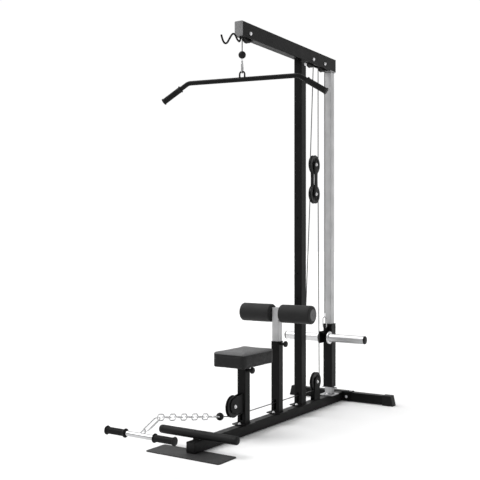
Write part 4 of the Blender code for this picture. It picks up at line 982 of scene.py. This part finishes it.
# ---- seat
def swell(item, cap, pressure=4.0):
    """Blows the pad up a little as cloth, and keeps each point within cap of its start."""
    modifier = item.modifiers.new("cloth", 'CLOTH')
    cloth = modifier.settings
    cloth.use_pressure = True
    cloth.uniform_pressure_force = pressure
    cloth.effector_weights.gravity = 0
    cloth.quality = 5
    cloth.tension_stiffness = 15
    cloth.compression_stiffness = 15
    cloth.bending_stiffness = 1.5
    before = [v.co.copy() for v in item.data.vertices]
    scene = bpy.context.scene
    frames = 20
    scene.frame_start, scene.frame_end = 1, frames
    for step in range(1, frames + 1):
        scene.frame_set(step)
    seen = item.evaluated_get(bpy.context.evaluated_depsgraph_get())
    after = [v.co.copy() for v in seen.to_mesh().vertices]
    item.modifiers.remove(modifier)
    scene.frame_set(1)
    for vert, start, end in zip(item.data.vertices, before, after):
        move = end - start
        if move.length > cap:
            move = move.normalized() * cap
        vert.co = start + move


def apply_modifiers(item):
    """Bakes the modifiers into the mesh and removes them."""
    bpy.context.view_layer.update()
    seen = item.evaluated_get(bpy.context.evaluated_depsgraph_get())
    mesh = bpy.data.meshes.new_from_object(seen)
    item.modifiers.clear()
    old = item.data
    item.data = mesh
    bpy.data.meshes.remove(old)


def build_seat():
    """The cushion: a boxy pad blown up a little as cloth, then crowned, with two pipings."""
    low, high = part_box("seat_pad")
    size = high - low
    centre = (low + high) / 2
    bm = bmesh.new()
    bmesh.ops.create_cube(bm, size=1)
    bmesh.ops.scale(bm, vec=(size.x - 2 * PAD_INSET, size.y - 2 * PAD_INSET, size.z - PAD_INSET),
                    verts=bm.verts)
    upright = [e for e in bm.edges if abs((e.verts[0].co - e.verts[1].co).z) > 0.02]
    bevel(bm, upright, 0.010, 4)
    rims = [e for e in bm.edges if abs(e.verts[0].co.z - e.verts[1].co.z) < MERGE_DIST
            and len(e.link_faces) == 2 and abs(e.link_faces[0].normal.z
                                               - e.link_faces[1].normal.z) > 0.5]
    bevel(bm, rims, 0.004, 2)
    pad = add_object("seat_cushion", to_mesh("seat_cushion", bm, 180))
    pad.location = centre - Vector((0, 0, PAD_INSET / 2))
    remesh = pad.modifiers.new("remesh", 'REMESH')
    remesh.mode = 'VOXEL'
    remesh.voxel_size = PAD_VOXEL
    apply_modifiers(pad)
    swell(pad, PAD_SWELL)
    floor = -(size.z - PAD_INSET) / 2
    ceiling = size.z / 2 + PAD_INSET / 2 + 0.004
    for vert in pad.data.vertices:
        vert.co.z = max(vert.co.z, floor)
        inside = 1 - max(abs(vert.co.x) / (size.x / 2), abs(vert.co.y) / (size.y / 2))
        if vert.co.z > 0.02:
            vert.co.z += PAD_CROWN * sin(min(1, inside * 2.2) * QUARTER) - 0.0012
            vert.co.z += 0.0007 * noise.noise(vert.co * 22)
        vert.co.z = min(vert.co.z, ceiling)
    smooth = pad.modifiers.new("smooth", 'SMOOTH')
    smooth.factor = 0.5
    smooth.iterations = 3
    finer = pad.modifiers.new("finer", 'SUBSURF')
    finer.levels = finer.render_levels = 1
    apply_modifiers(pad)

    seam_z = size.z / 2 - SEAM_DROP
    mesh = pad.data
    mesh.materials.clear()
    mesh.materials.append(PAD_SIDE)
    mesh.materials.append(PAD_TOP_PAINTED_LIGHT)
    # Faces above the top seam take the lighter vinyl copy, which is painted light on the pad's
    # top.
    for face in mesh.polygons:
        face.material_index = 1 if face.center.z > seam_z else 0
        face.use_smooth = True
    bm = bmesh.new()
    bm.from_mesh(mesh)
    tree = BVHTree.FromBMesh(bm)
    bm.free()
    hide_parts("seat_pad")
    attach(pad, "seat")
    for name, z, r in (("seat_piping_top", seam_z, 0.0019),
                       ("seat_piping_base", floor + 0.009, 0.0014)):
        path = []
        for i in range(PIPING_STEPS):
            angle = 2 * pi * i / PIPING_STEPS
            way = Vector((cos(angle) * size.x, sin(angle) * size.y, 0)).normalized()
            start = way * 0.4 + Vector((0, 0, z))
            hit = tree.ray_cast(start, -way, 0.5)[0]
            path.append(hit - way * r * 0.45)
        piece(name, wire(name, path, r, closed=True, resolution=3), PAD_SIDE, "seat",
              shift(pad.location))


# ---- knee rollers
def build_knee():
    """Two foam rollers with a soft, slightly uneven skin, and the axle with its discs."""
    low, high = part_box("roller_pad_right")
    length = high.x - low.x
    radius = (high.z - low.z) / 2
    z = (low.z + high.z) / 2
    y = (low.y + high.y) / 2
    half = length / 2
    corner = [(radius - FOAM_CORNER * (1 - sin(QUARTER * i / 6)),
               half - FOAM_CORNER * (1 - cos(QUARTER * i / 6))) for i in range(7)]
    side = [(radius, (half - FOAM_CORNER) * (1 - i / 8)) for i in range(1, 9)]
    outer = [(0.0300, half - 0.0016), (0.0345, half - 0.0004)] + corner + side
    profile = [(0.0132, half - 0.0016)] + outer
    profile += [(r, -h) for r, h in reversed(profile[:-1])]
    mesh = turned("roller", profile, 96)
    for vert in mesh.vertices:
        out = Vector((vert.co.x, vert.co.y, 0))
        if out.length > 0.03:
            push = 0.0005 * noise.noise(vert.co * 30) + 0.0003 * noise.noise(vert.co * 75)
            vert.co += out.normalized() * push
    for name, way in (("left", -1), ("right", 1)):
        at = along("X", (way * (low.x + high.x) / 2, y, z), way)
        item = piece(f"roller_{name}_foam", mesh.copy(), FOAM, f"roller_{name}", at,
                     replaces=(f"roller_pad_{name}",))

    low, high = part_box("knee_axle")
    end = high.x
    disc = [(0, end - 0.0010), (0.0060, end - 0.0010), (0.0070, end - 0.0018),
            (0.0110, end - 0.0018), (0.0120, end - 0.0008), (0.0270, end - 0.0002),
            (0.0300, end), (0.0320, end - 0.0006), (0.0330, end - 0.0020),
            (0.0330, end - 0.0036), (0.0125, end - 0.0038)]
    axle = turned("knee_axle_turned", disc + [(r, -h) for r, h in reversed(disc)], 72,
                  closed=False)
    piece("knee_axle_discs", axle, HUB, "knee_rest", along("X", (0, y, z)),
          replaces=("knee_axle",))


def build_pins():
    """The mushroom knob and threaded stem of each pull pin."""
    knob = [(0, 0.0400), (0.0070, 0.0397), (0.0122, 0.0385), (0.0157, 0.0360),
            (0.0172, 0.0325), (0.0175, 0.0285), (0.0165, 0.0250), (0.0140, 0.0215),
            (0.0099, 0.0190), (0.0075, 0.0180), (0.0052, 0.0180), (0.0052, 0.0240), (0, 0.0240)]
    knob = turned("knob", knob, 48, closed=False)
    stem = turned("pin_stem", rounded(
        [(0.0060, 0.0185), (0.0060, 0.0130), (0.0085, 0.0110), (0.0085, 0.0008),
         (0.0045, 0.0008), (0.0045, -0.0020), (0.0010, -0.0020), (0.0010, 0.0185)],
        0.0006, 2), 40)
    for name, y, z in (("seat", SEAT_POST_Y, SEAT_PIN_Z), ("knee", KNEE_POST_Y, KNEE_PIN_Z)):
        at = along("X", (TUBE_HALF, y, z))
        piece(f"{name}_pin_knob", knob, NYLON, f"{name}_pull_pin", at,
              replaces=(f"{name}_pin",))
        piece(f"{name}_pin_stem", stem, NYLON, f"{name}_pull_pin", at)


# ---- studio
FLOOR_HALF = 90
FLOOR_GREY = 0.87
VIEW_DIRECTION = (-0.5517, 0.8341, 0.0)
WORLD_BEHIND, WORLD_AHEAD = 0.62, 1.02
SUN_POWER = 2.2
SUN_ANGLE = radians(50)
SUN_DIRECTION = (0.62, 0.45, -1.15)
FILL_POWER = 6
CAMERA_AT = (2.3154, -3.0681, 1.013)
CAMERA_PITCH = radians(90.1359)
CAMERA_YAW = radians(33.4836)


def area(name, where, target, size, power):
    """A rectangular light at a place, turned to a target."""
    data = bpy.data.lights.new(name, 'AREA')
    data.shape = 'RECTANGLE'
    data.size, data.size_y = size
    data.energy = power
    item = add_object(name, data)
    item.location = where
    item.rotation_euler = (Vector(target) - Vector(where)).to_track_quat('-Z', 'Y').to_euler()


def build_floor():
    """A plain pale floor just under the machine."""
    bm = bmesh.new()
    bmesh.ops.create_grid(bm, x_segments=1, y_segments=1, size=FLOOR_HALF)
    mesh = bpy.data.meshes.new("studio_floor")
    bm.to_mesh(mesh)
    bm.free()
    mesh.materials.append(material("studio_floor", (FLOOR_GREY,) * 3, 0.9, specular=0.1)[0])
    floor = add_object("studio_floor", mesh)
    floor.location = (0, 0, -0.0005)


def build_world(scene):
    """A white surround, a little darker behind the camera so that metal reads as grey."""
    world = bpy.data.worlds.new("studio")
    scene.world = world
    world.use_nodes = True
    tree = world.node_tree
    back = tree.nodes["Background"]
    coords = tree.nodes.new("ShaderNodeTexCoord")
    toward = tree.nodes.new("ShaderNodeVectorMath")
    toward.operation = 'DOT_PRODUCT'
    toward.inputs[1].default_value = VIEW_DIRECTION
    tree.links.new(coords.outputs["Generated"], toward.inputs[0])
    ramp = tree.nodes.new("ShaderNodeMapRange")
    ramp.inputs["From Min"].default_value = -0.35
    ramp.inputs["From Max"].default_value = 0.75
    ramp.inputs["To Min"].default_value = WORLD_BEHIND
    ramp.inputs["To Max"].default_value = WORLD_AHEAD
    tree.links.new(toward.outputs["Value"], ramp.inputs["Value"])
    back.inputs["Color"].default_value = (1, 1, 1, 1)
    tree.links.new(ramp.outputs["Result"], back.inputs["Strength"])


def build_studio():
    """Floor, world, lights and camera."""
    scene = bpy.context.scene
    build_floor()
    build_world(scene)
    data = bpy.data.lights.new("key", 'SUN')
    data.energy = SUN_POWER
    data.angle = SUN_ANGLE
    key = add_object("key", data)
    key.rotation_euler = Vector(SUN_DIRECTION).to_track_quat('-Z', 'Y').to_euler()
    area("fill", (3.6, -2.2, 3.0), (0, 0.8, 0.9), (2.5, 2.5), FILL_POWER)

    data = bpy.data.cameras.new("camera")
    data.sensor_width = 36
    data.lens = 59.74
    data.shift_y = 0.00487
    data.clip_end = 200
    camera = add_object("camera", data)
    camera.location = CAMERA_AT
    camera.rotation_euler = (CAMERA_PITCH, 0, CAMERA_YAW)
    scene.camera = camera
    scene.view_settings.view_transform = 'Standard'


paint_cad()
build_frame_details()
build_fasteners()
build_wheels()
build_ropes()
build_float()
build_carriage()
build_balls()
build_lat_bar()
build_row_handle()
build_seat()
build_knee()
build_pins()
build_studio()

bpy.context.view_layer.update()
